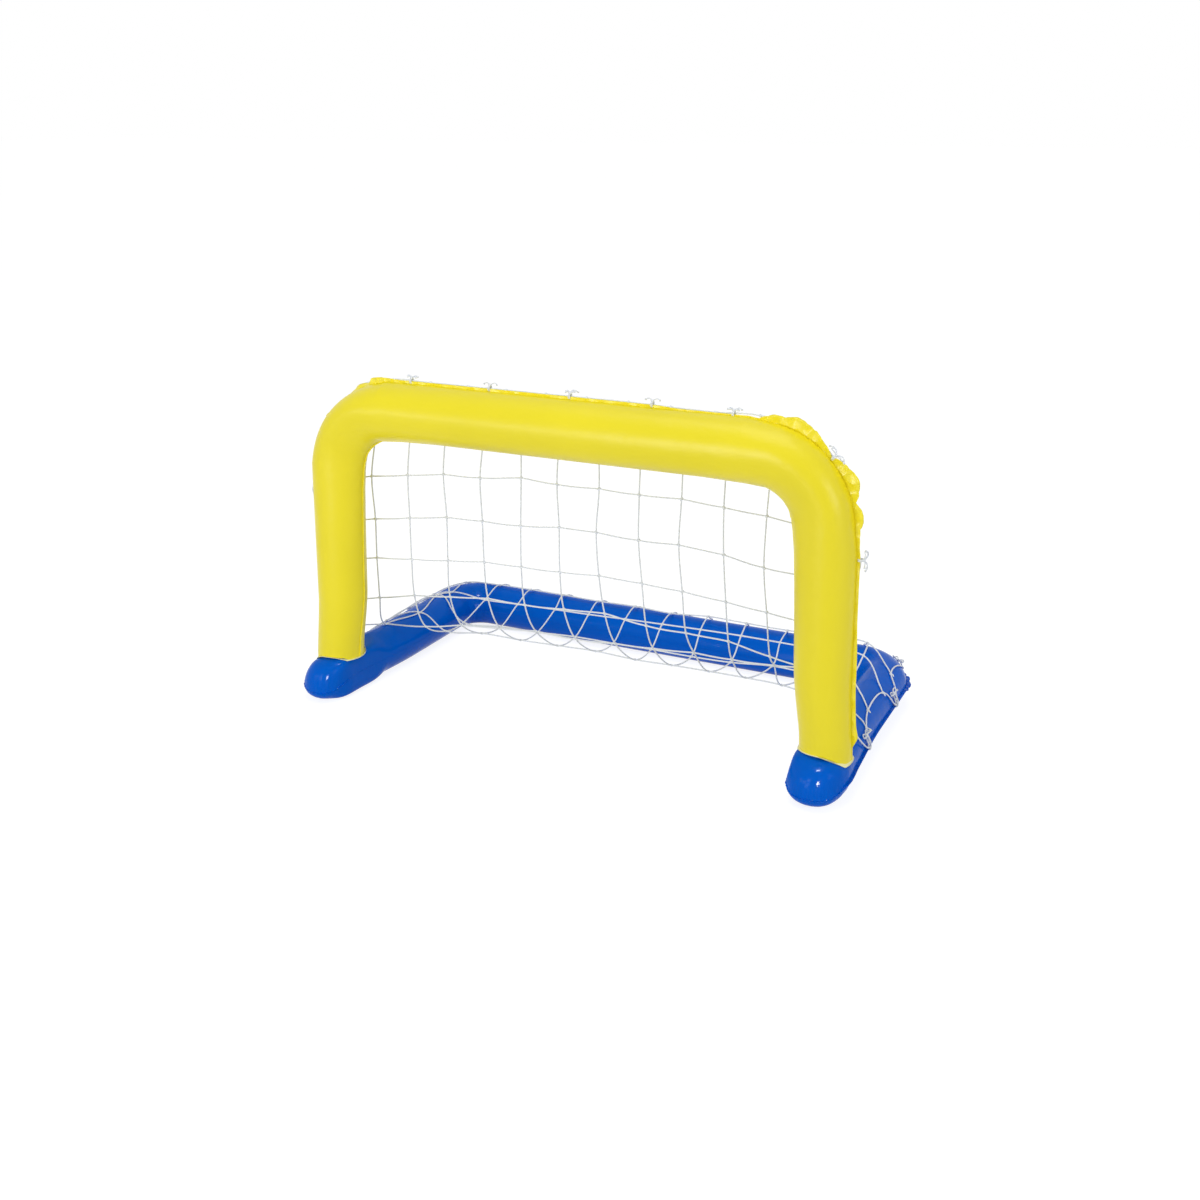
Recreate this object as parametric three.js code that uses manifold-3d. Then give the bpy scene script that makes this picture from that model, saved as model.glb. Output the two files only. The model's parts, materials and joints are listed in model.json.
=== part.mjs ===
// Inflatable water polo goal: a yellow arch on a blue U-shaped base, with a knotted net behind.
// Millimetres, +Z up. The mouth faces -Y, and the origin is at the centre of the footprint.
import * as THREE from 'three';
import { mergeVertices } from 'three/addons/utils/BufferGeometryUtils.js';
import Module from 'manifold-3d';

const wasm = await Module();
wasm.setup();

// Arch: two sheets welded along their rims and blown up to a tube
const ARCH_WIDTH = 1374;
const CROSSBAR_HEIGHT = 750;
const CROSSBAR_RADIUS = 69;
const POST_RADIUS = 60;
const POST_FOOT_RADIUS = 54;
const ARCH_CORNER_RADIUS = 140;

// Base: a U of tube that lies on the water or the floor, with a round toe ahead of each post
const BASE_RADIUS = 58;
const BASE_DEPTH = 595;
const BASE_CORNER_RADIUS = 110;
const BASE_FLATTENING = 2;
const TOE_LENGTH = 118;

// Sheets and their welded rims
const SHEET = 0.35;
const FIT_GAP = 0.3;
const OUTER_RIM = 7;
const INNER_RIM = 3;
const FOOT_RIM = 2.5;
const FOOT_TAB_RIM = 14;
const ARCH_CORNER_RIM = 27;
const BASE_CORNER_RIM = 14;
const PATCH_THICKNESS = 0.8;
const PATCH_RIM = 3.5;
const POST_FOOT_DROP = 21;

// Net of knotted cord
const NET_CORD = 3;
const NET_CLEARANCE = 1.9;
const NET_BEND_SLACK = 1.5;
const NET_LEAN = 50;
const NET_SHIFT = 9;

// Ties of thin cord that hold the net to the rims
const TIE_CORD_RADIUS = 1;
const TIE_LOOP_RADIUS = 5.6;
const TIE_KNOT_RADIUS = 2.4;
const TIE_TAIL = 15;
const TIE_HOLE_RADIUS = 1.9;

// Valves
const VALVE_FLANGE_RADIUS = 14;
const VALVE_FLANGE = 1;
const VALVE_SOCKET_RADIUS = 9;
const VALVE_SOCKET_DEPTH = 16;
const VALVE_STEM_RADIUS = 7.2;
const VALVE_STEM_BORE = 4.6;
const VALVE_STEM_LENGTH = 30;
const VALVE_RUNNING_GAP = 0.35;
const VALVE_LIP_RADIUS = 8.7;
const VALVE_LIP = 1.5;
const VALVE_RIM = 1.2;
const VALVE_RIM_RADIUS = 9.4;
const VALVE_CAP_RADIUS = 8.4;
const VALVE_CAP = 1.6;
const VALVE_PLUG_RADIUS = 3.9;
const VALVE_PLUG_TIP_RADIUS = 3.2;
const VALVE_PLUG_LENGTH = 6;
const VALVE_STRAP_WIDTH = 5;
const VALVE_STRAP = 0.9;
const VALVE_HINGE_REACH = 13.5;
const VALVE_HINGE_RADIUS = 0.9;
const VALVE_FLAP_RADIUS = 5.8;
const VALVE_FLAP = 0.5;
const VALVE_CUT = 30;
const BASE_VALVE_ANGLE = 45;

// Shares, chosen by eye: widths of the puckered rims from one end of a corner to the other
const ARCH_CORNER_RIM_SHARES = [0.5, 1, 0.95, 0.7, 0.26, 0.85, 1, 0.7, 0.4];
const BASE_CORNER_RIM_SHARES = [0.5, 0.85, 1, 0.65, 0.5, 0.65, 1, 0.8, 0.5];

const RUFFLE_SHARE = 0.1;

// Places on a post, as shares of the crossbar's height: where it begins to narrow towards its foot,
// where it has narrowed, and its valve
const POST_TAPER_TOP_SHARE = 0.37;
const POST_TAPER_END_SHARE = 0.2;
const ARCH_VALVE_HEIGHT_SHARE = 0.42;

// Where the net hangs: shares of the base's depth and of the crossbar's height
const NET_PROFILE_SHARES = [
  [0.112, 0.783], [0.112, 0.636], [0.118, 0.492], [0.183, 0.355],
  [0.288, 0.227], [0.490, 0.132], [0.665, 0.115], [0.810, 0.140],
];
const NET_COLUMN_PITCH_SHARE = 0.0813;
const NET_FIRST_ROW_SHARE = 0.044;
const NET_ROW_TILT_SHARE = 0.045;
const NET_COLUMN_COUNT = 12;
const NET_ROW_COUNT = 12;

// Where the net's side edge runs: on the back of a post, as shares of the crossbar's height
const EDGE_POST_SHARES = [0.755, 0.625, 0.49, 0.355, 0.225];
const EDGE_POST_ANGLE = 50;
// and over an arm, as angles round the tube from its outer rim and shares of the base's depth
const EDGE_ARM_PLACES = [
  { angle: 34, depthShare: 0.29 },
  { angle: 52, depthShare: 0.40 },
  { angle: 48, depthShare: 0.60 },
  { angle: 58, depthShare: 0.78 },
];

// Ties: shares of the half width along the crossbar and the rear bar, and of height and depth
const CROSSBAR_TIE_SHARES = [-0.64, -0.3, 0.03, 0.35, 0.65];
const REAR_TIE_SHARES = [-0.62, -0.33, -0.03, 0.27, 0.56];
const POST_TIE_SHARE = 0.72;
const ARM_TIE_SHARES = [0.24, 0.67];
const TIE_CORNER_ANGLE = 45;

// Facet counts
const TUBE_STEPS = 8;
const FLAT_ARC_STEPS = 3;
const TOE_STEPS = 4;
const ROUND_SIDES = 16;
const SMALL_SIDES = 6;
const DEGREE = Math.PI / 180;

// Values worked out from the sizes above
const AXIS_X = ARCH_WIDTH / 2 - POST_RADIUS;
const POST_TAPER_TOP = CROSSBAR_HEIGHT * POST_TAPER_TOP_SHARE;
const POST_TAPER_END = CROSSBAR_HEIGHT * POST_TAPER_END_SHARE;
const BASE_AXIS_Z = BASE_RADIUS - BASE_FLATTENING;
const TOE_REACH = TOE_LENGTH - BASE_RADIUS;
const ARCH_ARC_X = AXIS_X - ARCH_CORNER_RADIUS;
const ARCH_ARC_Z = CROSSBAR_HEIGHT - ARCH_CORNER_RADIUS;
const BASE_ARC_X = AXIS_X - BASE_CORNER_RADIUS;
const BASE_ARC_Y = BASE_DEPTH - BASE_CORNER_RADIUS;
const WELD_LIFT = FIT_GAP / 2;
const CORD_BEHIND = WELD_LIFT + SHEET + NET_CORD / 2 + 4 * FIT_GAP;
const CORD_OUTSIDE = OUTER_RIM + FIT_GAP / 2;
const LAY_DISTANCE = NET_CORD * Math.SQRT1_2 + NET_CLEARANCE;

const X = new THREE.Vector3(1, 0, 0);
const Y = new THREE.Vector3(0, 1, 0);
const Z = new THREE.Vector3(0, 0, 1);

// Materials
const YELLOW = new THREE.Color(0xe9d83c);
const BLUE = new THREE.Color(0x0a55c4);
const WHITE = new THREE.Color(0xf2f2ee);
const CLEAR = new THREE.Color(0xdfe6ea);

function vinyl(color) {
  return new THREE.MeshStandardMaterial({ color, roughness: 0.35, metalness: 0, side: THREE.DoubleSide });
}

function cordMaterial() {
  return new THREE.MeshStandardMaterial({ color: WHITE, roughness: 0.8, metalness: 0 });
}

const goal = new THREE.Group();

function addPiece(name, geometry, material) {
  geometry.computeVertexNormals();
  const mesh = new THREE.Mesh(geometry, material);
  mesh.name = name;
  goal.add(mesh);
  return mesh;
}

// Joining and cutting

function weldedPoints(geometry) {
  const bare = geometry.clone();
  bare.deleteAttribute('normal');
  bare.deleteAttribute('uv');
  return mergeVertices(bare, 1e-4);
}

function solidOf(geometry) {
  const welded = weldedPoints(geometry);
  const vertProperties = new Float32Array(welded.attributes.position.array);
  const corners = welded.index.array;
  const kept = [];
  for (let i = 0; i < corners.length; i += 3) {
    const [a, b, c] = [corners[i], corners[i + 1], corners[i + 2]];
    if (a !== b && b !== c && c !== a) kept.push(a, b, c);
  }
  return new wasm.Manifold(new wasm.Mesh({ numProp: 3, vertProperties, triVerts: new Uint32Array(kept) }));
}

function geometryOf(solid) {
  const mesh = solid.getMesh();
  const geometry = new THREE.BufferGeometry();
  geometry.setAttribute('position', new THREE.BufferAttribute(new Float32Array(mesh.vertProperties), 3));
  geometry.setIndex(new THREE.BufferAttribute(new Uint32Array(mesh.triVerts), 1));
  return geometry;
}

function joined(geometries) {
  return geometries.map(solidOf).reduce((whole, next) => whole.add(next));
}

// A bag of triangles that becomes one closed geometry
class Skin {
  constructor() {
    this.corners = [];
  }

  triangle(a, b, c) {
    this.corners.push(a, b, c);
  }

  quad(a, b, c, d) {
    this.triangle(a, b, c);
    this.triangle(a, c, d);
  }

  geometry() {
    const loose = new THREE.BufferGeometry().setFromPoints(this.corners);
    const welded = mergeVertices(loose, 1e-4);
    const index = welded.index.array;
    const kept = [];
    for (let i = 0; i < index.length; i += 3) {
      const [a, b, c] = [index[i], index[i + 1], index[i + 2]];
      if (a !== b && b !== c && c !== a) kept.push(a, b, c);
    }
    welded.setIndex(kept);
    return welded;
  }
}

// Stations: sections of a tube, each with its centre, its outward direction in the seam's plane,
// its radius, the widths of its two rims and how far the rims wave out of the plane

function lerp(a, b, share) {
  return a + (b - a) * share;
}

function archRadius(z) {
  const share = THREE.MathUtils.clamp((z - POST_TAPER_END) / (POST_TAPER_TOP - POST_TAPER_END), 0, 1);
  return lerp(POST_FOOT_RADIUS, POST_RADIUS, share);
}

function cornerRadius(angle) {
  return lerp(CROSSBAR_RADIUS, POST_RADIUS, THREE.MathUtils.smoothstep(angle, 0, Math.PI / 2));
}

function archCornerCentre(angle) {
  return new THREE.Vector3(
    ARCH_ARC_X + ARCH_CORNER_RADIUS * Math.sin(angle), 0, ARCH_ARC_Z + ARCH_CORNER_RADIUS * Math.cos(angle));
}

function baseCornerCentre(angle) {
  return new THREE.Vector3(
    BASE_ARC_X + BASE_CORNER_RADIUS * Math.sin(angle),
    BASE_ARC_Y + BASE_CORNER_RADIUS * Math.cos(angle), BASE_AXIS_Z);
}

function station(centre, out, radius, outerRim, innerRim, wave, extra = {}) {
  return {
    centre, out, radius, outerRim, innerRim, wave,
    outerWay: out.clone(), innerWay: out.clone().negate(), ...extra,
  };
}

// A wide rim waves to and fro; at a tie it is plain
function ruffle(rim, order) {
  return (rim - OUTER_RIM) * RUFFLE_SHARE * (order % 2 ? 1 : -1);
}

function mirrored(stationRight) {
  const flip = (v) => new THREE.Vector3(-v.x, v.y, v.z);
  return {
    ...stationRight,
    centre: flip(stationRight.centre),
    out: flip(stationRight.out),
    outerWay: flip(stationRight.outerWay),
    innerWay: flip(stationRight.innerWay),
  };
}

function bothHalves(right) {
  return [...right.slice(1).reverse().map(mirrored), ...right];
}

function archStations() {
  const right = [];
  for (const x of [0, ARCH_ARC_X - ARCH_CORNER_RIM]) {
    const centre = new THREE.Vector3(x, 0, CROSSBAR_HEIGHT);
    right.push(station(centre, Z.clone(), CROSSBAR_RADIUS, OUTER_RIM, INNER_RIM, 0));
  }
  const steps = ARCH_CORNER_RIM_SHARES.length - 1;
  ARCH_CORNER_RIM_SHARES.forEach((share, i) => {
    const angle = (i / steps) * Math.PI / 2;
    const out = new THREE.Vector3(Math.sin(angle), 0, Math.cos(angle));
    const rim = ARCH_CORNER_RIM * share;
    right.push(station(archCornerCentre(angle), out, cornerRadius(angle), rim, INNER_RIM, ruffle(rim, i)));
  });
  const tabTop = POST_TAPER_END;
  const postPlaces = [
    [ARCH_ARC_Z - ARCH_CORNER_RIM, OUTER_RIM], [POST_TAPER_TOP, OUTER_RIM],
    [tabTop, OUTER_RIM], [tabTop - FOOT_TAB_RIM, FOOT_TAB_RIM],
  ];
  for (const [z, rim] of postPlaces) {
    right.push(station(new THREE.Vector3(AXIS_X, 0, z), X.clone(), archRadius(z), rim, INNER_RIM, 0));
  }
  right[right.length - 1].innerRim = FOOT_RIM;
  right.push(station(new THREE.Vector3(AXIS_X, 0, BASE_AXIS_Z + POST_FOOT_DROP), X.clone(), POST_FOOT_RADIUS,
    FOOT_TAB_RIM, FOOT_RIM, 0, { foot: true }));
  return bothHalves(right);
}

function baseStations() {
  const right = [];
  const rear = new THREE.Vector3(0, BASE_DEPTH, BASE_AXIS_Z);
  right.push(station(rear, Y.clone(), BASE_RADIUS, OUTER_RIM, INNER_RIM, 0));
  const steps = BASE_CORNER_RIM_SHARES.length - 1;
  BASE_CORNER_RIM_SHARES.forEach((share, i) => {
    const angle = (i / steps) * Math.PI / 2;
    const out = new THREE.Vector3(Math.sin(angle), Math.cos(angle), 0);
    const rim = BASE_CORNER_RIM * share;
    right.push(station(baseCornerCentre(angle), out, BASE_RADIUS, rim, INNER_RIM, ruffle(rim, i)));
  });
  for (let i = 0; i <= TOE_STEPS; i += 1) {
    const angle = (i / TOE_STEPS) * Math.PI / 2;
    const centre = new THREE.Vector3(AXIS_X, -TOE_REACH - BASE_RADIUS * Math.sin(angle), BASE_AXIS_Z);
    const ring = station(centre, X.clone(), BASE_RADIUS * Math.cos(angle), OUTER_RIM, OUTER_RIM, 0);
    ring.innerRim = i === 0 ? INNER_RIM : OUTER_RIM;
    ring.outerWay.set(Math.cos(angle), -Math.sin(angle), 0);
    ring.innerWay.set(-Math.cos(angle), -Math.sin(angle), 0);
    right.push(ring);
  }
  return bothHalves(right);
}

// Angles round half a tube; with a flat the middle step is level with the floor
function halfAngles(radius, flatHeight) {
  if (flatHeight === undefined) {
    return Array.from({ length: TUBE_STEPS + 1 }, (_, i) => (i / TUBE_STEPS) * Math.PI);
  }
  const edge = Math.asin(Math.min(flatHeight / BASE_RADIUS, flatHeight / Math.max(radius, flatHeight)));
  const rise = Array.from({ length: FLAT_ARC_STEPS + 1 }, (_, i) => (i / FLAT_ARC_STEPS) * edge);
  return [...rise, ...rise.map((angle) => Math.PI - angle).reverse()];
}

// One sheet's line across the tube: outer rim, half circle, inner rim
function sheetLine(at, bulge, waveWay, inset, flatHeight) {
  const radius = Math.max(at.radius - inset, 0);
  const lift = WELD_LIFT + SHEET - inset;
  const points = [];
  const rimPoint = (side, way, width) => at.centre.clone()
    .addScaledVector(at.out, side * radius).addScaledVector(way, width + inset)
    .addScaledVector(bulge, lift).addScaledVector(waveWay, at.wave);
  points.push(rimPoint(1, at.outerWay, at.outerRim));
  for (const angle of halfAngles(at.radius, flatHeight)) {
    let height = Math.max(radius * Math.sin(angle), lift);
    if (flatHeight !== undefined) height = Math.min(height, flatHeight - inset);
    points.push(at.centre.clone()
      .addScaledVector(at.out, radius * Math.cos(angle)).addScaledVector(bulge, height));
  }
  points.push(rimPoint(-1, at.innerWay, at.innerRim));
  return points;
}

function sheetGeometry(stations, bulge, waveWay, flatHeight) {
  const outside = stations.map((at) => sheetLine(at, bulge, waveWay, 0, flatHeight));
  const inside = stations.map((at) => sheetLine(at, bulge, waveWay, SHEET, flatHeight));
  const last = outside[0].length - 1;
  const skin = new Skin();
  for (let i = 0; i + 1 < stations.length; i += 1) {
    for (let k = 0; k < last; k += 1) {
      skin.quad(outside[i][k], outside[i][k + 1], outside[i + 1][k + 1], outside[i + 1][k]);
      skin.quad(inside[i][k + 1], inside[i][k], inside[i + 1][k], inside[i + 1][k + 1]);
    }
    skin.quad(inside[i][0], outside[i][0], outside[i + 1][0], inside[i + 1][0]);
    skin.quad(outside[i][last], inside[i][last], inside[i + 1][last], outside[i + 1][last]);
  }
  const end = stations.length - 1;
  if (stations[end].foot) {
    for (let k = 0; k < last; k += 1) {
      skin.quad(outside[0][k + 1], outside[0][k], inside[0][k], inside[0][k + 1]);
      skin.quad(outside[end][k], outside[end][k + 1], inside[end][k + 1], inside[end][k]);
    }
  }
  return skin.geometry();
}

function facingOut(solidGeometry) {
  const position = solidGeometry.attributes.position;
  const index = solidGeometry.index.array;
  const [a, b, c] = [new THREE.Vector3(), new THREE.Vector3(), new THREE.Vector3()];
  let volume = 0;
  for (let i = 0; i < index.length; i += 3) {
    a.fromBufferAttribute(position, index[i]);
    b.fromBufferAttribute(position, index[i + 1]);
    c.fromBufferAttribute(position, index[i + 2]);
    volume += a.dot(b.cross(c));
  }
  if (volume < 0) {
    for (let i = 0; i < index.length; i += 3) [index[i], index[i + 1]] = [index[i + 1], index[i]];
  }
  return solidGeometry;
}

// Places on the welded rims: the seam's point, the way out from the tube, the way along the seam
// and the way to the side where the net lies

function crossbarPlace(x) {
  return { point: new THREE.Vector3(x, 0, CROSSBAR_HEIGHT + CROSSBAR_RADIUS), out: Z, along: X, back: Y };
}

function archCornerPlace(angle, side) {
  const out = new THREE.Vector3(side * Math.sin(angle), 0, Math.cos(angle));
  const centre = archCornerCentre(angle);
  centre.x *= side;
  return {
    point: centre.addScaledVector(out, cornerRadius(angle)), out, back: Y,
    along: new THREE.Vector3(Math.cos(angle), 0, -side * Math.sin(angle)),
  };
}

function postPlace(z, side) {
  const point = new THREE.Vector3(side * (AXIS_X + archRadius(z)), 0, z);
  return { point, out: X.clone().multiplyScalar(side), along: Z, back: Y };
}

function armPlace(y, side) {
  const point = new THREE.Vector3(side * (AXIS_X + BASE_RADIUS), y, BASE_AXIS_Z);
  return { point, out: X.clone().multiplyScalar(side), along: Y, back: Z };
}

function baseCornerPlace(angle, side) {
  const out = new THREE.Vector3(side * Math.sin(angle), Math.cos(angle), 0);
  const centre = baseCornerCentre(angle);
  centre.x *= side;
  return {
    point: centre.addScaledVector(out, BASE_RADIUS), out, back: Z,
    along: new THREE.Vector3(Math.cos(angle), -side * Math.sin(angle), 0),
  };
}

function rearPlace(x) {
  return { point: new THREE.Vector3(x, BASE_DEPTH + BASE_RADIUS, BASE_AXIS_Z), out: Y, along: X, back: Z };
}

// Where the net's border cord passes a rim
function cordAt(place) {
  return place.point.clone()
    .addScaledVector(place.out, CORD_OUTSIDE).addScaledVector(place.back, CORD_BEHIND);
}

const SIDES = [['left', -1], ['right', 1]];
const archTies = [];
CROSSBAR_TIE_SHARES.forEach((share, i) => {
  archTies.push({ name: `tie_crossbar_${i + 1}`, place: crossbarPlace(AXIS_X * share) });
});
const baseTies = [];
REAR_TIE_SHARES.forEach((share, i) => {
  baseTies.push({ name: `tie_rear_bar_${i + 1}`, place: rearPlace(AXIS_X * share) });
});
for (const [word, side] of SIDES) {
  const angle = TIE_CORNER_ANGLE * DEGREE;
  archTies.push({ name: `tie_${word}_arch_corner`, place: archCornerPlace(angle, side) });
  archTies.push({ name: `tie_${word}_post`, place: postPlace(CROSSBAR_HEIGHT * POST_TIE_SHARE, side) });
  baseTies.push({ name: `tie_${word}_base_corner`, place: baseCornerPlace(angle, side) });
  ARM_TIE_SHARES.forEach((share, i) => {
    baseTies.push({ name: `tie_${word}_arm_${i + 1}`, place: armPlace(BASE_DEPTH * share, side) });
  });
}

// The loop's circle goes round the border cord and the rim's edge, and through a hole in the rim
const LOOP_BEHIND = CORD_BEHIND - NET_CORD / 2 + TIE_CORD_RADIUS / 2;
const LOOP_OUTSIDE = CORD_OUTSIDE + TIE_CORD_RADIUS / 4;
const TIE_HOLE_OUTSIDE = LOOP_OUTSIDE - Math.sqrt(TIE_LOOP_RADIUS ** 2 - LOOP_BEHIND ** 2);

function placedAt(place, geometry) {
  const frame = new THREE.Matrix4().makeBasis(place.along, place.back, place.out);
  if (frame.determinant() < 0) frame.makeBasis(place.along.clone().negate(), place.back, place.out);
  frame.setPosition(place.point);
  return geometry.applyMatrix4(frame);
}

function cutHoles(geometry, ties) {
  let solid = solidOf(geometry);
  for (const { place } of ties) {
    const drill = new THREE.CylinderGeometry(TIE_HOLE_RADIUS, TIE_HOLE_RADIUS, 2 * OUTER_RIM, SMALL_SIDES);
    drill.translate(0, 0, TIE_HOLE_OUTSIDE);
    solid = solid.subtract(solidOf(placedAt(place, drill)));
  }
  return solid;
}

function tieGeometry(place, order) {
  const loop = new THREE.TorusGeometry(TIE_LOOP_RADIUS, TIE_CORD_RADIUS, 4, 8);
  loop.rotateY(Math.PI / 2);
  loop.translate(0, LOOP_BEHIND, LOOP_OUTSIDE);
  const knotPlace = LOOP_OUTSIDE + TIE_LOOP_RADIUS + TIE_CORD_RADIUS;
  const knot = new THREE.OctahedronGeometry(TIE_KNOT_RADIUS);
  knot.translate(0, LOOP_BEHIND, knotPlace);
  const pieces = [loop, knot];
  for (const side of [-1, 1]) {
    const tail = new THREE.CylinderGeometry(TIE_CORD_RADIUS, TIE_CORD_RADIUS, TIE_TAIL, 4);
    tail.translate(0, TIE_TAIL / 2, 0);
    tail.rotateX((order % 2 ? 1 : -1) * Math.PI / 8);
    tail.rotateY(side * Math.PI / 3);
    tail.rotateX(Math.PI / 2 + side * Math.PI / 12);
    tail.translate(0, LOOP_BEHIND, knotPlace);
    pieces.push(tail);
  }
  return geometryOf(solidOf(placedAt(place, geometryOf(joined(pieces)))));
}

// Sheets of the arch and the base

// Each post's foot is cut to the round of the arm below it
function seatedOnArms(solid) {
  const seat = BASE_RADIUS + PATCH_THICKNESS + 2 * FIT_GAP;
  return SIDES.reduce((rest, [, side]) => {
    const arm = new THREE.CylinderGeometry(seat, seat, 2 * BASE_RADIUS + 2 * POST_RADIUS, 2 * ROUND_SIDES);
    arm.translate(side * AXIS_X, 0, BASE_AXIS_Z);
    return rest.subtract(solidOf(arm));
  }, solid);
}

const archLine = archStations();
const baseLine = baseStations();
const front = facingOut(sheetGeometry(archLine, Y.clone().negate(), Y));
const archFront = seatedOnArms(cutHoles(front, archTies));
let archBack = seatedOnArms(cutHoles(facingOut(sheetGeometry(archLine, Y, Y)), archTies));
let baseTop = cutHoles(facingOut(sheetGeometry(baseLine, Z, Z)), baseTies);
const underside = facingOut(sheetGeometry(baseLine, Z.clone().negate(), Z, BASE_AXIS_Z));
const baseBottom = cutHoles(underside, baseTies);

// A disc or ring that is shaped to a tube below it: upright walls cut by the tube's own shell.
// The tube runs along Y, and the disc stands over its top.
function tubeShell(inner, outer, length) {
  const ring = new THREE.Shape().absarc(0, 0, outer, 0, Math.PI, false);
  ring.absarc(0, 0, inner, Math.PI, 0, true);
  const along = { depth: length, bevelEnabled: false, curveSegments: ROUND_SIDES };
  const shell = new THREE.ExtrudeGeometry(ring, along);
  shell.translate(0, 0, -length / 2);
  shell.rotateX(Math.PI / 2);
  return shell;
}

function saddleDisc(radius, tubeRadius, thickness) {
  const wall = new THREE.CylinderGeometry(radius, radius, 2 * tubeRadius, ROUND_SIDES);
  wall.rotateX(Math.PI / 2);
  wall.translate(0, 0, tubeRadius);
  const shell = tubeShell(tubeRadius, tubeRadius + thickness, 3 * radius);
  return solidOf(wall).intersect(solidOf(shell));
}

for (const [word, side] of SIDES) {
  const patch = geometryOf(saddleDisc(POST_FOOT_RADIUS + PATCH_RIM, BASE_RADIUS + FIT_GAP, PATCH_THICKNESS));
  patch.translate(side * AXIS_X, 0, BASE_AXIS_Z);
  addPiece(`${word}_post_end_patch`, patch, vinyl(YELLOW));
}

// Valves. Each is drawn standing along +Z with its tube's axis along Y below it.

function turnedPiece(points) {
  const profile = points.map(([radius, height]) => new THREE.Vector2(radius, height));
  const lathe = new THREE.LatheGeometry([...profile, profile[0].clone()], ROUND_SIDES);
  lathe.rotateX(Math.PI / 2);
  return facingOut(weldedPoints(lathe));
}

function valveSeat(tubeRadius) {
  const flatOfFacet = tubeRadius * Math.cos(Math.PI / TUBE_STEPS / 2);
  const under = flatOfFacet - SHEET - FIT_GAP;
  const bore = VALVE_STEM_RADIUS + VALVE_RUNNING_GAP;
  const flange = saddleDisc(VALVE_FLANGE_RADIUS, under - VALVE_FLANGE, VALVE_FLANGE);
  const socket = turnedPiece([
    [bore, under], [VALVE_SOCKET_RADIUS, under], [VALVE_SOCKET_RADIUS, under - VALVE_SOCKET_DEPTH],
    [bore, under - VALVE_SOCKET_DEPTH],
  ]);
  const hole = new THREE.CylinderGeometry(bore, bore, VALVE_CUT, ROUND_SIDES);
  hole.rotateX(Math.PI / 2);
  hole.translate(0, 0, tubeRadius);
  return flange.add(solidOf(socket)).subtract(solidOf(hole));
}

function valveStem(tubeRadius) {
  const top = tubeRadius + FIT_GAP;
  const rimTop = top + VALVE_RIM;
  const bottom = rimTop - VALVE_STEM_LENGTH;
  const barrel = turnedPiece([
    [VALVE_STEM_BORE, bottom], [VALVE_LIP_RADIUS, bottom], [VALVE_LIP_RADIUS, bottom + VALVE_LIP],
    [VALVE_STEM_RADIUS, bottom + VALVE_LIP], [VALVE_STEM_RADIUS, top], [VALVE_RIM_RADIUS, top],
    [VALVE_RIM_RADIUS, rimTop], [VALVE_STEM_BORE, rimTop],
  ]);
  const lugReach = VALVE_HINGE_REACH - VALVE_STEM_RADIUS;
  const lug = new THREE.BoxGeometry(lugReach, VALVE_STRAP_WIDTH, VALVE_RIM - VALVE_HINGE_RADIUS / 2);
  lug.translate(VALVE_STEM_RADIUS + lugReach / 2, 0, top + (VALVE_RIM - VALVE_HINGE_RADIUS / 2) / 2);
  return solidOf(barrel).add(solidOf(lug));
}

function valveCapBottom(tubeRadius) {
  return tubeRadius + 2 * FIT_GAP + VALVE_RIM;
}

function hingeHeight(tubeRadius) {
  return valveCapBottom(tubeRadius) + VALVE_STRAP / 2;
}

function valveStopper(tubeRadius) {
  const under = valveCapBottom(tubeRadius);
  const cap = turnedPiece([
    [0, under - VALVE_PLUG_LENGTH], [VALVE_PLUG_TIP_RADIUS, under - VALVE_PLUG_LENGTH],
    [VALVE_PLUG_RADIUS, under], [VALVE_CAP_RADIUS, under], [VALVE_CAP_RADIUS, under + VALVE_CAP / 2],
    [VALVE_CAP_RADIUS - VALVE_CAP / 2, under + VALVE_CAP], [0, under + VALVE_CAP],
  ]);
  const reach = VALVE_HINGE_REACH - VALVE_PLUG_RADIUS;
  const strap = new THREE.BoxGeometry(reach, VALVE_STRAP_WIDTH, VALVE_STRAP);
  strap.translate(VALVE_PLUG_RADIUS + reach / 2, 0, hingeHeight(tubeRadius));
  const barrel = new THREE.CylinderGeometry(
    VALVE_HINGE_RADIUS, VALVE_HINGE_RADIUS, VALVE_STRAP_WIDTH, SMALL_SIDES);
  barrel.translate(VALVE_HINGE_REACH, 0, hingeHeight(tubeRadius));
  return joined([cap, strap, barrel]);
}

function valveFlap(tubeRadius) {
  const top = tubeRadius + VALVE_RIM - VALVE_STEM_LENGTH;
  return solidOf(turnedPiece([
    [0, top - VALVE_FLAP], [VALVE_FLAP_RADIUS, top - VALVE_FLAP], [VALVE_FLAP_RADIUS, top], [0, top],
  ]));
}

function valveOpening(tubeRadius) {
  const radius = VALVE_SOCKET_RADIUS + FIT_GAP;
  const cut = new THREE.CylinderGeometry(radius, radius, VALVE_CUT, ROUND_SIDES);
  cut.rotateX(Math.PI / 2);
  cut.translate(0, 0, tubeRadius);
  return cut;
}

function addValve(prefix, tubeRadius, frame, color) {
  const pieces = [
    ['valve_seat', valveSeat(tubeRadius), vinyl(color)],
    ['valve_stem', valveStem(tubeRadius), vinyl(CLEAR)],
    ['valve_stopper', valveStopper(tubeRadius), vinyl(CLEAR)],
    ['valve_flap', valveFlap(tubeRadius), vinyl(CLEAR)],
  ];
  for (const [word, solid, material] of pieces) {
    addPiece(`${prefix}_${word}`, geometryOf(solid).applyMatrix4(frame), material);
  }
  return solidOf(valveOpening(tubeRadius).applyMatrix4(frame));
}

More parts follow.
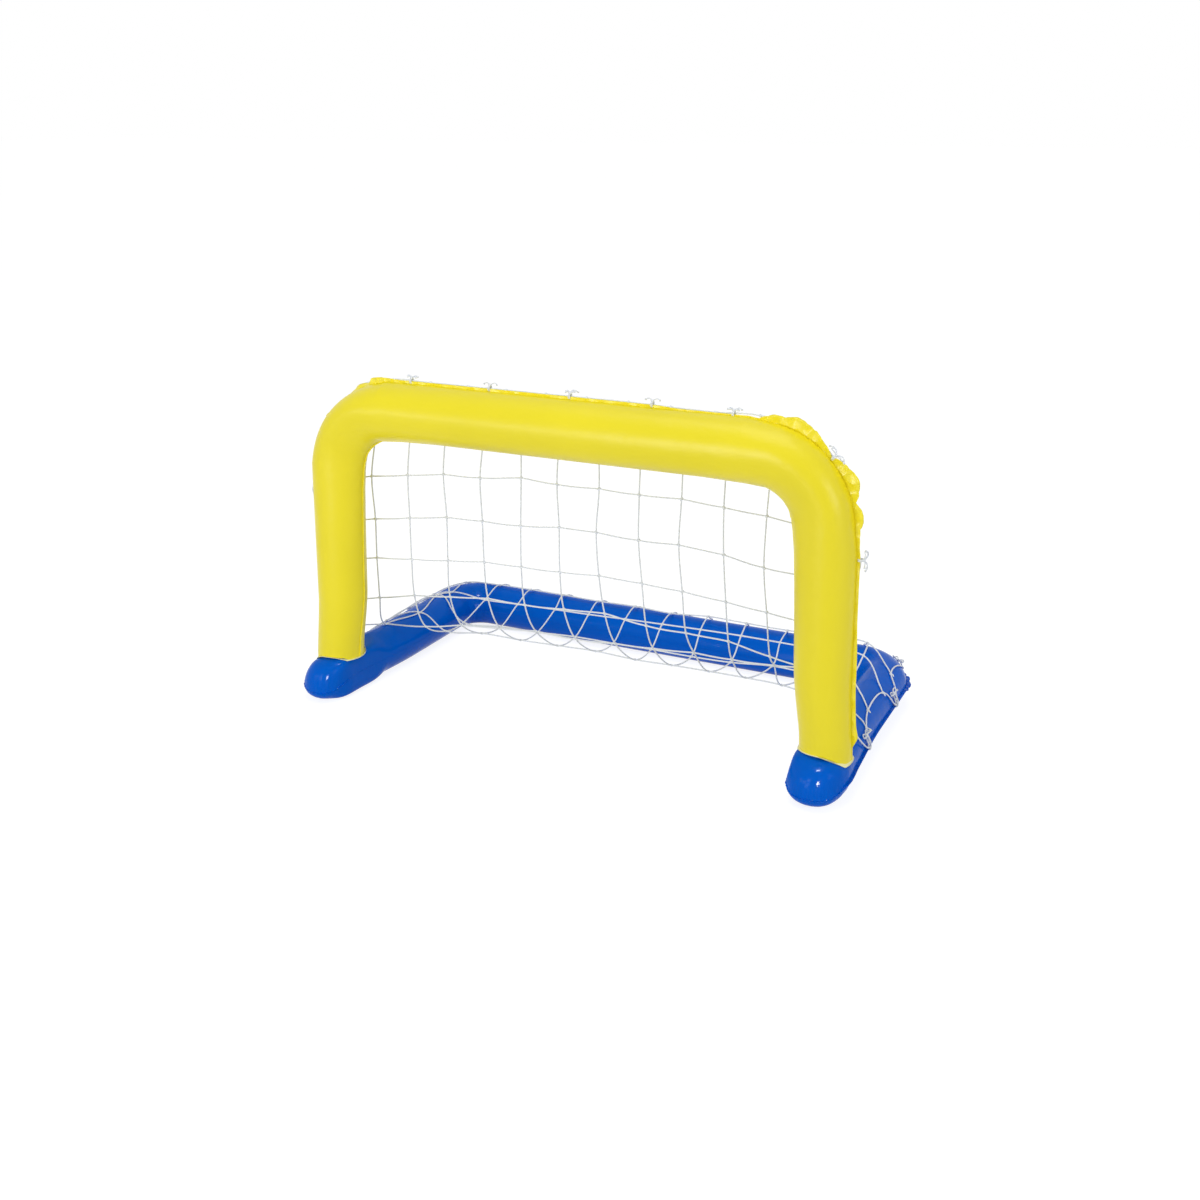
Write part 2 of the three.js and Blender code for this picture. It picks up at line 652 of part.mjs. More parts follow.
// The arch's valve points backwards from a post, and its strap hinges upright
const archValveFrame = new THREE.Matrix4().makeBasis(X.clone().negate(), Z, Y);
archValveFrame.setPosition(AXIS_X, 0, CROSSBAR_HEIGHT * ARCH_VALVE_HEIGHT_SHARE);
archBack = archBack.subtract(addValve('arch', POST_RADIUS, archValveFrame, YELLOW));

// The base's valve points up and back from the rear bar, midway between two cords of the net
const NET_PITCH = 2 * AXIS_X * NET_COLUMN_PITCH_SHARE;
const baseValveX = NET_SHIFT - NET_LEAN + 1.5 * NET_PITCH - NET_PITCH / 2;
const tilt = BASE_VALVE_ANGLE * DEGREE;
const valveOut = new THREE.Vector3(0, Math.sin(tilt), Math.cos(tilt));
const valveAcross = new THREE.Vector3().crossVectors(X, valveOut);
const baseValveFrame = new THREE.Matrix4().makeBasis(valveAcross, X, valveOut);
baseValveFrame.setPosition(baseValveX, BASE_DEPTH, BASE_AXIS_Z);
baseTop = baseTop.subtract(addValve('base', BASE_RADIUS, baseValveFrame, BLUE));

addPiece('arch_front_sheet', geometryOf(archFront), vinyl(YELLOW));
addPiece('arch_back_sheet', geometryOf(archBack), vinyl(YELLOW));
addPiece('base_top_sheet', geometryOf(baseTop), vinyl(BLUE));
addPiece('base_bottom_sheet', geometryOf(baseBottom), vinyl(BLUE));

// Ties

[...archTies, ...baseTies].forEach(({ name, place }, i) => {
  addPiece(name, tieGeometry(place, i), cordMaterial());
});

// The net. A cord that would pass through a tube is laid on its surface.

function tubeAxes() {
  const axes = [];
  for (const line of [archLine, baseLine]) {
    for (let i = 0; i + 1 < line.length; i += 1) axes.push([line[i], line[i + 1]]);
  }
  return axes;
}

const axes = tubeAxes();

function laidOn(point) {
  const laid = point.clone();
  const nearest = new THREE.Vector3();
  for (const [from, to] of axes) {
    const span = new THREE.Line3(from.centre, to.centre);
    const share = span.closestPointToPointParameter(laid, true);
    span.at(share, nearest);
    const needed = lerp(from.radius, to.radius, share) + LAY_DISTANCE;
    const away = laid.clone().sub(nearest);
    if (away.length() < needed) laid.copy(nearest).addScaledVector(away.normalize(), needed);
  }
  return laid;
}

function netCurve() {
  const crossbarLay = CROSSBAR_RADIUS + LAY_DISTANCE;
  const baseLay = BASE_RADIUS + LAY_DISTANCE;
  const places = [
    [CORD_BEHIND, CROSSBAR_HEIGHT + CROSSBAR_RADIUS + CORD_OUTSIDE],
    [crossbarLay * Math.SQRT1_2, CROSSBAR_HEIGHT + crossbarLay * Math.SQRT1_2],
    [crossbarLay, CROSSBAR_HEIGHT],
    ...NET_PROFILE_SHARES.map(([depth, height]) => [BASE_DEPTH * depth, CROSSBAR_HEIGHT * height]),
    [BASE_DEPTH, BASE_AXIS_Z + baseLay],
    [BASE_DEPTH + baseLay * Math.SQRT1_2, BASE_AXIS_Z + baseLay * Math.SQRT1_2],
    [BASE_DEPTH + BASE_RADIUS + CORD_OUTSIDE, BASE_AXIS_Z + CORD_BEHIND],
  ];
  const points = places.map(([y, z]) => new THREE.Vector3(0, y, z));
  return new THREE.CatmullRomCurve3(points, false, 'centripetal');
}

const fall = netCurve();
const fallLength = fall.getLength();

// How far the welded rim has turned down, or forwards, at a place past the start of its corner
function rimTurn(x, arcX, outerRadius) {
  const offset = Math.max(Math.abs(x) - arcX, 0);
  return outerRadius * (1 - Math.sqrt(1 - Math.min(offset / outerRadius, 1) ** 2));
}

function rowShare(row) {
  if (row === 0) return 0;
  return NET_FIRST_ROW_SHARE + (row - 1) * (1 - NET_FIRST_ROW_SHARE) / (NET_ROW_COUNT - 1);
}

function innerKnot(column, row) {
  const share = rowShare(row);
  const x = (column - (NET_COLUMN_COUNT + 1) / 2) * NET_PITCH + NET_SHIFT - NET_LEAN * share;
  const tilted = share - NET_ROW_TILT_SHARE * (x / fallLength) * Math.sin(Math.PI * share);
  const place = fall.getPointAt(THREE.MathUtils.clamp(tilted, 0, 1));
  const archTurn = rimTurn(x, ARCH_ARC_X, ARCH_CORNER_RADIUS + POST_RADIUS + CORD_OUTSIDE);
  const baseTurn = rimTurn(x, BASE_ARC_X, BASE_CORNER_RADIUS + BASE_RADIUS + CORD_OUTSIDE);
  const lowered = archTurn * Math.max(1 - 4 * share, 0);
  const drawnIn = baseTurn * Math.max(4 * share - 3, 0);
  const point = new THREE.Vector3(x, place.y - drawnIn, place.z - lowered);
  if (row === 0 || row === NET_ROW_COUNT) return point;
  return laidOn(point);
}

function edgeKnot(side, row) {
  const postAngle = EDGE_POST_ANGLE * DEGREE;
  if (row === 0) return cordAt(archCornerPlace(TIE_CORNER_ANGLE * DEGREE, side));
  if (row === NET_ROW_COUNT) return cordAt(baseCornerPlace(TIE_CORNER_ANGLE * DEGREE, side));
  const firstOnPost = 3;
  const firstOnArm = firstOnPost + EDGE_POST_SHARES.length;
  if (row >= firstOnArm) {
    const { angle, depthShare } = EDGE_ARM_PLACES[row - firstOnArm];
    const lay = BASE_RADIUS + LAY_DISTANCE;
    return new THREE.Vector3(
      side * (AXIS_X + lay * Math.cos(angle * DEGREE)), BASE_DEPTH * depthShare,
      BASE_AXIS_Z + lay * Math.sin(angle * DEGREE));
  }
  if (row >= firstOnPost) {
    const lay = POST_RADIUS + LAY_DISTANCE;
    const z = CROSSBAR_HEIGHT * EDGE_POST_SHARES[row - firstOnPost];
    return new THREE.Vector3(side * (AXIS_X + lay * Math.cos(postAngle)), lay * Math.sin(postAngle), z);
  }
  const from = edgeKnot(side, 0);
  const to = edgeKnot(side, firstOnPost);
  const between = from.lerp(to, row / firstOnPost);
  between.y = POST_RADIUS / 2;
  return laidOn(between);
}

// Where a tie pulls the border cord out to a rim, between two rows
const edgePulls = new Map();
for (const [, side] of SIDES) {
  edgePulls.set(`${side}:3`, cordAt(postPlace(CROSSBAR_HEIGHT * POST_TIE_SHARE, side)));
  edgePulls.set(`${side}:7`, cordAt(armPlace(BASE_DEPTH * ARM_TIE_SHARES[0], side)));
  edgePulls.set(`${side}:10`, cordAt(armPlace(BASE_DEPTH * ARM_TIE_SHARES[1], side)));
}

const lastColumn = NET_COLUMN_COUNT + 1;
const knots = [];
for (let column = 0; column <= lastColumn; column += 1) {
  knots.push([]);
  for (let row = 0; row <= NET_ROW_COUNT; row += 1) {
    const side = column === 0 ? -1 : 1;
    const onEdge = column === 0 || column === lastColumn;
    knots[column].push({ centre: onEdge ? edgeKnot(side, row) : innerKnot(column, row) });
  }
}

function direction(from, to) {
  return to.centre.clone().sub(from.centre).normalize();
}

for (let column = 0; column <= lastColumn; column += 1) {
  for (let row = 0; row <= NET_ROW_COUNT; row += 1) {
    const knot = knots[column][row];
    const [before, after] = [Math.max(column - 1, 0), Math.min(column + 1, lastColumn)];
    const [above, below] = [Math.max(row - 1, 0), Math.min(row + 1, NET_ROW_COUNT)];
    knot.across = direction(knots[before][row], knots[after][row]);
    const down = direction(knots[column][above], knots[column][below]);
    knot.through = new THREE.Vector3().crossVectors(knot.across, down).normalize();
    knot.down = new THREE.Vector3().crossVectors(knot.through, knot.across);
  }
}

// Four corners of a cord's section, anticlockwise as seen from ahead
function section(centre, first, second) {
  const half = NET_CORD / 2;
  return [[-1, -1], [1, -1], [1, 1], [-1, 1]].map(([a, b]) => centre.clone()
    .addScaledVector(first, a * half).addScaledVector(second, b * half));
}

// The face of a knot that a cord leaves by, or the end of a cord that stops short of it
function knotFace(knot, isRow, way, gap) {
  const ahead = isRow ? knot.across : knot.down;
  const centre = knot.centre.clone().addScaledVector(ahead, way * (NET_CORD / 2 + gap));
  return isRow ? section(centre, knot.down, knot.through) : section(centre, knot.through, knot.across);
}

// Points where a cord bends to lie on a tube, found by halving its way
function laidBends(start, end, halvings) {
  if (halvings === 0) return [];
  const straight = start.clone().lerp(end, 0.5);
  const laid = laidOn(straight);
  const own = laid.distanceTo(straight) > NET_BEND_SLACK ? [laid] : [];
  return [...laidBends(start, laid, halvings - 1), ...own, ...laidBends(laid, end, halvings - 1)];
}

function bends(from, to, isRow, pull) {
  const stops = pull ? [from.centre, pull, to.centre] : [from.centre, to.centre];
  const way = [from.centre];
  for (let i = 0; i + 1 < stops.length; i += 1) {
    way.push(...laidBends(stops[i], stops[i + 1], 3), stops[i + 1]);
  }
  return way.slice(1, -1).map((centre, i) => {
    const ahead = way[i + 2].clone().sub(way[i]).normalize();
    const share = (i + 1) / (way.length - 1);
    const [first, last] = isRow ? [from.down, to.down] : [from.through, to.through];
    const lead = first.clone().lerp(last, share);
    const second = new THREE.Vector3().crossVectors(ahead, lead).normalize();
    return section(centre, new THREE.Vector3().crossVectors(second, ahead), second);
  });
}

function strand(skin, from, to, isRow, ownFrom, ownTo, pull) {
  const start = knotFace(from, isRow, 1, ownFrom ? 0 : FIT_GAP);
  const end = knotFace(to, isRow, -1, ownTo ? 0 : FIT_GAP);
  const rings = [start, ...bends(from, to, isRow, pull), end];
  for (let i = 0; i + 1 < rings.length; i += 1) {
    for (let k = 0; k < 4; k += 1) {
      const next = (k + 1) % 4;
      skin.quad(rings[i][k], rings[i][next], rings[i + 1][next], rings[i + 1][k]);
    }
  }
  if (!ownFrom) skin.quad(start[3], start[2], start[1], start[0]);
  if (!ownTo) skin.quad(end[0], end[1], end[2], end[3]);
}

// A panel owns the knots from its first to its last column and row; its cords reach up to the
// panel above and to the panels beside it, and stop just short of their knots
function netPanel(columns, rows, reach) {
  const skin = new Skin();
  const within = (value, span) => value >= span[0] && value <= span[1];
  const owns = (column, row) => within(column, columns) && within(row, rows);
  const linked = (c1, r1, c2, r2) => {
    if (c2 < 0 || c2 > lastColumn || r2 < 0 || r2 > NET_ROW_COUNT) return false;
    if (owns(c2, r2)) return true;
    if (r2 < r1) return reach.up;
    return c2 < c1 ? reach.left : c2 > c1 && reach.right;
  };
  for (let column = columns[0]; column <= columns[1]; column += 1) {
    for (let row = rows[0]; row <= rows[1]; row += 1) {
      const knot = knots[column][row];
      const [near, far] = [1, -1].map((way) => {
        const centre = knot.centre.clone().addScaledVector(knot.through, way * NET_CORD / 2);
        return section(centre, knot.across, knot.down);
      });
      skin.quad(near[0], near[1], near[2], near[3]);
      skin.quad(far[3], far[2], far[1], far[0]);
      for (const [dc, dr] of [[1, 0], [-1, 0], [0, 1], [0, -1]]) {
        const isRow = dr === 0;
        const way = dc + dr;
        const face = knotFace(knot, isRow, way, 0);
        if (!linked(column, row, column + dc, row + dr)) {
          if (way > 0) skin.quad(face[0], face[1], face[2], face[3]);
          else skin.quad(face[3], face[2], face[1], face[0]);
        } else if (way > 0 || !owns(column + dc, row + dr)) {
          const other = knots[column + dc][row + dr];
          const side = column === 0 ? -1 : 1;
          const onEdge = !isRow && (column === 0 || column === lastColumn);
          const pull = onEdge ? edgePulls.get(`${side}:${way > 0 ? row : row - 1}`) : undefined;
          if (way > 0) strand(skin, knot, other, isRow, true, owns(column + dc, row + dr), pull);
          else strand(skin, other, knot, isRow, false, true, pull);
        }
      }
    }
  }
  return skin.geometry();
}

const panelRows = [
  ['net_top_strip', 0, 1], ['net_upper_panel', 2, 5], ['net_middle_panel', 6, 7],
  ['net_lower_panel', 8, 9], ['net_rear_panel', 10, NET_ROW_COUNT],
];
for (const [name, firstRow, lastRow] of panelRows) {
  const reach = { up: true, left: false, right: false };
  const panel = netPanel([1, NET_COLUMN_COUNT], [firstRow, lastRow], reach);
  addPiece(name, panel, cordMaterial());
}
const edgeRows = [['post_edge', 0, 7], ['arm_edge', 8, NET_ROW_COUNT]];
for (const [word, side] of SIDES) {
  const column = side < 0 ? 0 : lastColumn;
  for (const [part, firstRow, lastRow] of edgeRows) {
    const reach = { up: true, left: side > 0, right: side < 0 };
    addPiece(`net_${word}_${part}`, netPanel([column, column], [firstRow, lastRow], reach), cordMaterial());
  }
}

// The footprint's centre comes to the origin
const bounds = new THREE.Box3().setFromObject(goal);
const middle = bounds.getCenter(new THREE.Vector3());
for (const piece of goal.children) piece.geometry.translate(-middle.x, -middle.y, 0);

export default goal;
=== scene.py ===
"""Inflatable water polo goal: looks over the CAD frame, laid out as an add-on."""

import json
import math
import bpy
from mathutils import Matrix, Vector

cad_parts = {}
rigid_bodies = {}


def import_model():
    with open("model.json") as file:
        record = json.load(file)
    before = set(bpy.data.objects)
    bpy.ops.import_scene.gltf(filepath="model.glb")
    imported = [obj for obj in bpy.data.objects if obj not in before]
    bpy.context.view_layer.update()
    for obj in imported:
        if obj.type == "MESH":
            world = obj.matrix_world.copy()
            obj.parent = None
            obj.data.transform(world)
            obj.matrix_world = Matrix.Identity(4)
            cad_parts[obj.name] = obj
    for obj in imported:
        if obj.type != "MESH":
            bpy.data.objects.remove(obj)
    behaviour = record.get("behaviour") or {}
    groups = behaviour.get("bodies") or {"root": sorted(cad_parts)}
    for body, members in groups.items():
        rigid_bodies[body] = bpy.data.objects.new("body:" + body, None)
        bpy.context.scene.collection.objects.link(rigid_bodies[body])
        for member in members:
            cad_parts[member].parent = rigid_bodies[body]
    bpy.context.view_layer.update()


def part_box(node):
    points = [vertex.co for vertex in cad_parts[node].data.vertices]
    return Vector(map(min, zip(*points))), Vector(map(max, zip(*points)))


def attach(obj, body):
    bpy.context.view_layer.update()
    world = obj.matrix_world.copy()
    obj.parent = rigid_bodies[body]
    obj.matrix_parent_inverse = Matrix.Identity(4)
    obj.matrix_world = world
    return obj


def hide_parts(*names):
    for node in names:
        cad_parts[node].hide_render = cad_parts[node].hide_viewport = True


bl_info = {
    "name": "Inflatable water polo goal",
    "version": (1, 0, 0),
    "blender": (4, 5, 0),
    "location": "View3D > Sidebar > Goal",
    "description": "Builds the goal's vinyl tubes, net, ties, valves and a plain stage",
    "category": "Add Mesh",
}

import bmesh
import bpy
from bpy.props import FloatProperty, FloatVectorProperty, PointerProperty
from mathutils import Matrix, Vector, noise

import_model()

X, Y, Z = Vector((1, 0, 0)), Vector((0, 1, 0)), Vector((0, 0, 1))
SIDES = {"left": -1, "right": 1}


def middle(node):
    low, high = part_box(node)
    return (Vector(low) + Vector(high)) / 2


POST_FOOT = middle("right_post_end_patch")


# ---------------------------------------------------------------- properties


def length(name, description, default, low=0.0001, high=3.0):
    return FloatProperty(name=name, description=description, default=default, min=low, max=high, unit="LENGTH")


def colour(name, description, default):
    return FloatVectorProperty(name=name, description=description, default=default, size=3, subtype="COLOR",
                               min=0, max=1)


class GoalSizes(bpy.types.PropertyGroup):
    """Real sizes of the goal"""

    crossbar_height: length("Crossbar height", "Height of the crossbar's axis", 0.750)
    crossbar_radius: length("Crossbar radius", "Radius of the blown-up crossbar", 0.069)
    post_radius: length("Post radius", "Radius of a post", 0.060)
    foot_radius: length("Foot radius", "Radius of a post where it meets the base", 0.0575)
    arch_corner: length("Arch corner", "Radius of the arch's corners at the tube's axis", 0.140)
    corner_dip: length("Corner dip", "How far the outer seam of a corner draws in", 0.012)
    base_radius: length("Base radius", "Radius of the base tube", 0.058)
    base_depth: length("Base depth", "From the posts to the rear bar's axis", 0.595)
    base_corner: length("Base corner", "Radius of the base's corners at the tube's axis", 0.088)
    toe_drop: length("Toe drop", "How far the seam runs down at a toe's nose", 0.026)
    splay: length("Splay", "How far a toe and its post's foot lean outwards", 0.011)
    toe_turn: length("Toe turn", "How far both toes point to the left", 0.008)
    toe_reach: length("Toe reach", "How far an arm runs straight ahead of its post", 0.046)
    sheet: length("Sheet", "Thickness of the vinyl sheet", 0.00035)
    rim: length("Rim", "Width of the plain welded rim", 0.007)
    net_cord: length("Net cord", "Thickness of the net's cord", 0.0038)
    tie_cord: length("Tie cord", "Thickness of the ties", 0.0029)


class GoalColours(bpy.types.PropertyGroup):
    """Colours of the goal and its stage"""

    arch: colour("Arch", "Yellow vinyl", (0.92, 0.785, 0.012))
    # Painted light: the rim gets a brighter yellow than the tube, painted in for light shining through the thin welded
    # rim.
    arch_rim_painted_light: colour("Arch rim", "Yellow vinyl where light comes through the rim", (1.0, 0.87, 0.03))
    patch: colour("Patch", "Paler edge of the post's end", (0.97, 0.95, 0.50))
    base: colour("Base", "Blue vinyl", (0.0, 0.120, 0.66))
    base_rim: colour("Base rim", "Blue vinyl of the rim", (0.0, 0.095, 0.56))
    valve: colour("Valve", "Clear soft plastic of the valves", (0.78, 0.82, 0.84))
    cord: colour("Cord", "White cord", (0.90, 0.94, 1.0))
    floor: colour("Floor", "Floor and backdrop", (0.80, 0.80, 0.80))


# ------------------------------------------------------------------- shaders


class Sock:
    """A shader value that takes part in sums"""

    def __init__(self, tree, socket):
        self.tree, self.socket = tree, socket

    def _math(self, operation, *values):
        return self.tree.node("ShaderNodeMath", {"operation": operation}, values)

    def __add__(self, other):
        return self._math("ADD", self, other)

    def __sub__(self, other):
        return self._math("SUBTRACT", self, other)

    def __rsub__(self, other):
        return self._math("SUBTRACT", other, self)

    def __mul__(self, other):
        return self._math("MULTIPLY", self, other)

    def __pow__(self, other):
        return self._math("POWER", self, other)

    __radd__, __rmul__ = __add__, __mul__

    def sine(self):
        return self._math("SINE", self)

    def size(self):
        return self._math("ABSOLUTE", self)

    def most(self, other):
        return self._math("MAXIMUM", self, other)

    def ramp(self, low, high):
        """0 below low, 1 above high, smooth between"""
        return self.tree.node("ShaderNodeMapRange", {"interpolation_type": "SMOOTHSTEP"},
                              {"Value": self, "From Min": low, "From Max": high})


class Tree:
    """The node tree of a material or a world"""

    def __init__(self, owner):
        owner.use_nodes = True
        self.owner, self.nodes, self.links = owner, owner.node_tree.nodes, owner.node_tree.links
        self.nodes.clear()

    def node(self, kind, settings=None, values=(), output=0):
        made = self.nodes.new(kind)
        for key, value in (settings or {}).items():
            setattr(made, key, value)
        for key, value in values.items() if isinstance(values, dict) else enumerate(values):
            if isinstance(value, Sock):
                self.links.new(value.socket, made.inputs[key])
            else:
                made.inputs[key].default_value = value
        return Sock(self, made.outputs[output] if len(made.outputs) else None)

    def mix(self, factor, first, second):
        first, second = (c if isinstance(c, Sock) else (*c, 1) for c in (first, second))
        return self.node("ShaderNodeMix", {"data_type": "RGBA"}, {0: factor, 6: first, 7: second}, 2)

    def noise(self, where, scale, detail=2.0, roughness=0.5):
        return self.node("ShaderNodeTexNoise", {"noise_dimensions": "3D"},
                         {"Vector": where, "Scale": scale, "Detail": detail, "Roughness": roughness})

    def place(self):
        return self.node("ShaderNodeTexCoord", output="Object")

    def uv(self):
        """The piece's own map, and its U and V as two values"""
        both = self.node("ShaderNodeUVMap", {"uv_map": "UVMap"})
        return both, *(self.node("ShaderNodeSeparateXYZ", {}, [both], k) for k in (0, 1))

    def bump(self, height, distance, strength, normal=None):
        values = {"Height": height, "Distance": distance, "Strength": strength}
        return self.node("ShaderNodeBump", {}, {**values, "Normal": normal} if normal else values)

    def seen(self):
        """1 where the camera, a reflection or a clear piece looks"""
        rays = [self.node("ShaderNodeLightPath", output=f"Is {kind} Ray") for kind in ("Camera", "Glossy", "Transmission")]
        return rays[0].most(rays[1]).most(rays[2])

    def principled(self, **values):
        shader = self.node("ShaderNodeBsdfPrincipled", {}, {key.replace("_", " "): v for key, v in values.items()})
        return self.finish(shader)

    def finish(self, shader, kind="ShaderNodeOutputMaterial"):
        self.node(kind, {}, {"Surface": shader})
        return self.owner


def vinyl(t, tint, edge, rough_low, rough_high, shine, two_rims=True):
    """Soft welded vinyl. U runs along the tube in metres and V across it, 0 and 1 at the rims' edges."""
    where, (both, _, across) = t.place(), t.uv()
    from_middle = (across - 0.5).size() if two_rims else 0.5 - across
    rim, near_seam = from_middle.ramp(0.415, 0.43), from_middle.ramp(0.24, 0.42)
    shade = t.mix(t.noise(where, 3.0, 3.0).ramp(0.25, 0.75) * 0.5, tint, tuple(c * 0.9 for c in tint))
    dull = t.noise(where, 14.0, 3.0, 0.6).ramp(0.3, 0.75)
    stretched = t.node("ShaderNodeMapping", {}, {"Vector": both, "Scale": (105.0, 4.0, 1.0)})
    puckers = t.noise(stretched, 1.0, 2.0, 0.45) * near_seam * (1 - rim)
    dented = t.node("ShaderNodeTexVoronoi", {"feature": "SMOOTH_F1"}, {"Vector": where, "Scale": 26.0, "Smoothness": 0.5})
    facets = t.node("ShaderNodeTexVoronoi", {"feature": "F1"}, {"Vector": where, "Scale": 38.0})
    normal = None
    for height, distance, strength in (
            (t.noise(where, 9.0), 0.004, 0.3), (dented, 0.0020, 0.35), (puckers, 0.0030, 0.7),
            (t.noise(where, 75.0), 0.0011, 0.55), (facets * rim, 0.0070, 0.8), (t.noise(where, 900.0), 0.00005, 0.5)):
        normal = t.bump(height, distance, strength, normal)
    # Towards the rims the colour goes over to edge: for the yellow arch a brighter yellow, painted light that stands
    # for light shining through the thin rim; for the blue base a darker blue.
    return t.principled(Base_Color=t.mix(rim * 0.7, shade, edge), Normal=normal, IOR=1.45, Specular_IOR_Level=shine,
                        Roughness=rough_low + dull * (rough_high - rough_low) - rim * 0.3 * rough_low)


def cord_look(t, tint):
    """Twisted white cord, painted darker in the grooves between its strands as shade. U runs round the cord and V
    along it, in turns of the lay.
    """
    where, (_, around, along) = t.place(), t.uv()
    lay = ((around * 3 + along) * math.tau).sine() * 0.5 + 0.5
    soil = t.noise(where, 6.0, 3.0).ramp(0.5, 0.9)
    # Painted shade: the grooves between the strands, where lay is low, are darkened by up to a quarter; soil adds
    # darker patches at random.
    shade = t.mix((1 - lay) * 0.25 + soil * 0.10, tint, tuple(c * 0.72 for c in tint))
    normal = t.bump(t.noise(where, 1500.0), 0.0002, 0.5, t.bump(lay ** 0.7, 0.0006, 0.8))
    return t.principled(Base_Color=shade, Roughness=0.78, Normal=normal, Sheen_Weight=0.25)


def soft_plastic(t, tint):
    """Clear soft plastic, a little cloudy"""
    where = t.place()
    shade = t.mix(t.noise(where, 120.0, 3.0).ramp(0.3, 0.8) * 0.25, tint, tuple(c * 0.86 for c in tint))
    return t.principled(Base_Color=shade, Roughness=0.22 + t.noise(where, 300.0) * 0.16, IOR=1.45, Alpha=0.86,
                        Normal=t.bump(t.noise(where, 700.0), 0.00008, 0.5))


def look(name):
    """One of the goal's materials, made when it is first asked for"""
    tints = bpy.context.scene.goal_colours
    make, *values = {
        # The arch's rim colour, brighter than the tube, is painted light through the thin rim.
        "yellow_vinyl": (vinyl, tints.arch, tints.arch_rim_painted_light, 0.32, 0.40, 0.50),
        "pale_yellow_vinyl": (vinyl, tints.patch, tints.patch, 0.36, 0.46, 0.3),
        "blue_vinyl": (vinyl, tints.base, tints.base_rim, 0.10, 0.18, 0.05, False),
        "clear_vinyl": (soft_plastic, tints.valve),
        "white_cord": (cord_look, tints.cord),
    }[name]
    found = bpy.data.materials.get("goal_" + name)
    return found or make(Tree(bpy.data.materials.new("goal_" + name)), *values)


# -------------------------------------------------------------- mesh helpers


def own_map(bm):
    """The piece's one map, made when it is missing"""
    return bm.loops.layers.uv.get("UVMap") or bm.loops.layers.uv.new("UVMap")


def fresh():
    bm = bmesh.new()
    own_map(bm)
    return bm


def finished(bm, name, look_name, stands_for, body="goal", smooth_angle=50.0, leaning=None, faced=False):
    """Turns a bmesh into a piece that rides on its body"""
    if not faced:
        bmesh.ops.recalc_face_normals(bm, faces=bm.faces)
    if leaning:
        for v in bm.verts:
            v.co = leaning(v.co)
    mesh = bpy.data.meshes.new(name)
    bm.to_mesh(mesh)
    bm.free()
    mesh.polygons.foreach_set("use_smooth", [True] * len(mesh.polygons))
    mesh.set_sharp_from_angle(angle=math.radians(smooth_angle))
    mesh.materials.append(look(look_name))
    piece = bpy.data.objects.new(name, mesh)
    bpy.context.scene.collection.objects.link(piece)
    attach(piece, body)
    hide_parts(*stands_for)
    return piece


def walled(piece, wall):
    """Gives a thin sheet its thickness, inwards"""
    thick = piece.modifiers.new("Wall", "SOLIDIFY")
    thick.thickness, thick.offset = wall, -1.0


def lofted(bm, rows, columns_uv):
    """A grid bent through rows of points; columns_uv gives U and V for a row and a column"""
    down, across = len(rows), len(rows[0])
    uv = own_map(bm)
    made = bmesh.ops.create_grid(bm, x_segments=across - 1, y_segments=down - 1, size=1.0)["verts"]
    place = {}
    for v in made:
        i, k = round((v.co.y + 1) / 2 * (down - 1)), round((v.co.x + 1) / 2 * (across - 1))
        v.co = rows[i][k]
        place[v] = columns_uv(i, k)
    for v in made:
        for loop in v.link_loops:
            loop[uv].uv = place[v]


def swept(bm, path, radius, sides=6, closed=False):
    """A cord along a path of points, with its ends drawn in and shut, unless it closes on itself"""
    count = len(path)
    ahead = []
    for i in range(count):
        before = path[i - 1] if i or closed else path[i]
        after = path[(i + 1) % count] if i + 1 < count or closed else path[i]
        ahead.append((after - before).normalized())
    side = ahead[0].orthogonal().normalized()
    rows, travelled = [], [0.0]
    for i in range(count + 1 if closed else count):
        point, way = path[i % count], ahead[i % count]
        if i:
            travelled.append(travelled[-1] + (point - path[i - 1]).length)
        side = (side - way * side.dot(way)).normalized()
        other = way.cross(side)
        tip = 0.55 if not closed and i in (0, count - 1) else 1.0
        turns = (math.tau * k / sides for k in range(sides + 1))
        rows.append([point + (side * math.cos(t) + other * math.sin(t)) * (radius * tip) for t in turns])
    if closed:
        rows[-1] = rows[0]
    cord = bmesh.new()
    lofted(cord, rows, lambda i, k: (k / sides, travelled[i] / (radius * 7)))
    bmesh.ops.remove_doubles(cord, verts=cord.verts, dist=radius * 0.02)
    if not closed:
        bmesh.ops.holes_fill(cord, edges=[e for e in cord.edges if e.is_boundary], sides=sides)
    joined(bm, cord)


def joined(bm, part):
    """Moves a small bmesh into the piece's own"""
    mesh = bpy.data.meshes.new("part")
    part.to_mesh(mesh)
    part.free()
    bm.from_mesh(mesh)
    bpy.data.meshes.remove(mesh)


def knotted(bm, centre, first, second, third):
    """A small tight knot: a ball drawn out along its axes"""
    knot = bmesh.new()
    uv = own_map(knot)
    for v in bmesh.ops.create_icosphere(knot, subdivisions=2, radius=1.0)["verts"]:
        p = v.co.copy()
        v.co = centre + (first * p.x + second * p.y + third * p.z) * (1 + 0.12 * math.sin(7 * p.x + 5 * p.y))
        for loop in v.link_loops:
            loop[uv].uv = (p.x * 0.5, p.y * 0.6 + p.z * 0.4)
    joined(bm, knot)


def blend(a, b, low, high, at):
    return a * ((high - at) / (high - low)) + b * ((at - low) / (high - low))


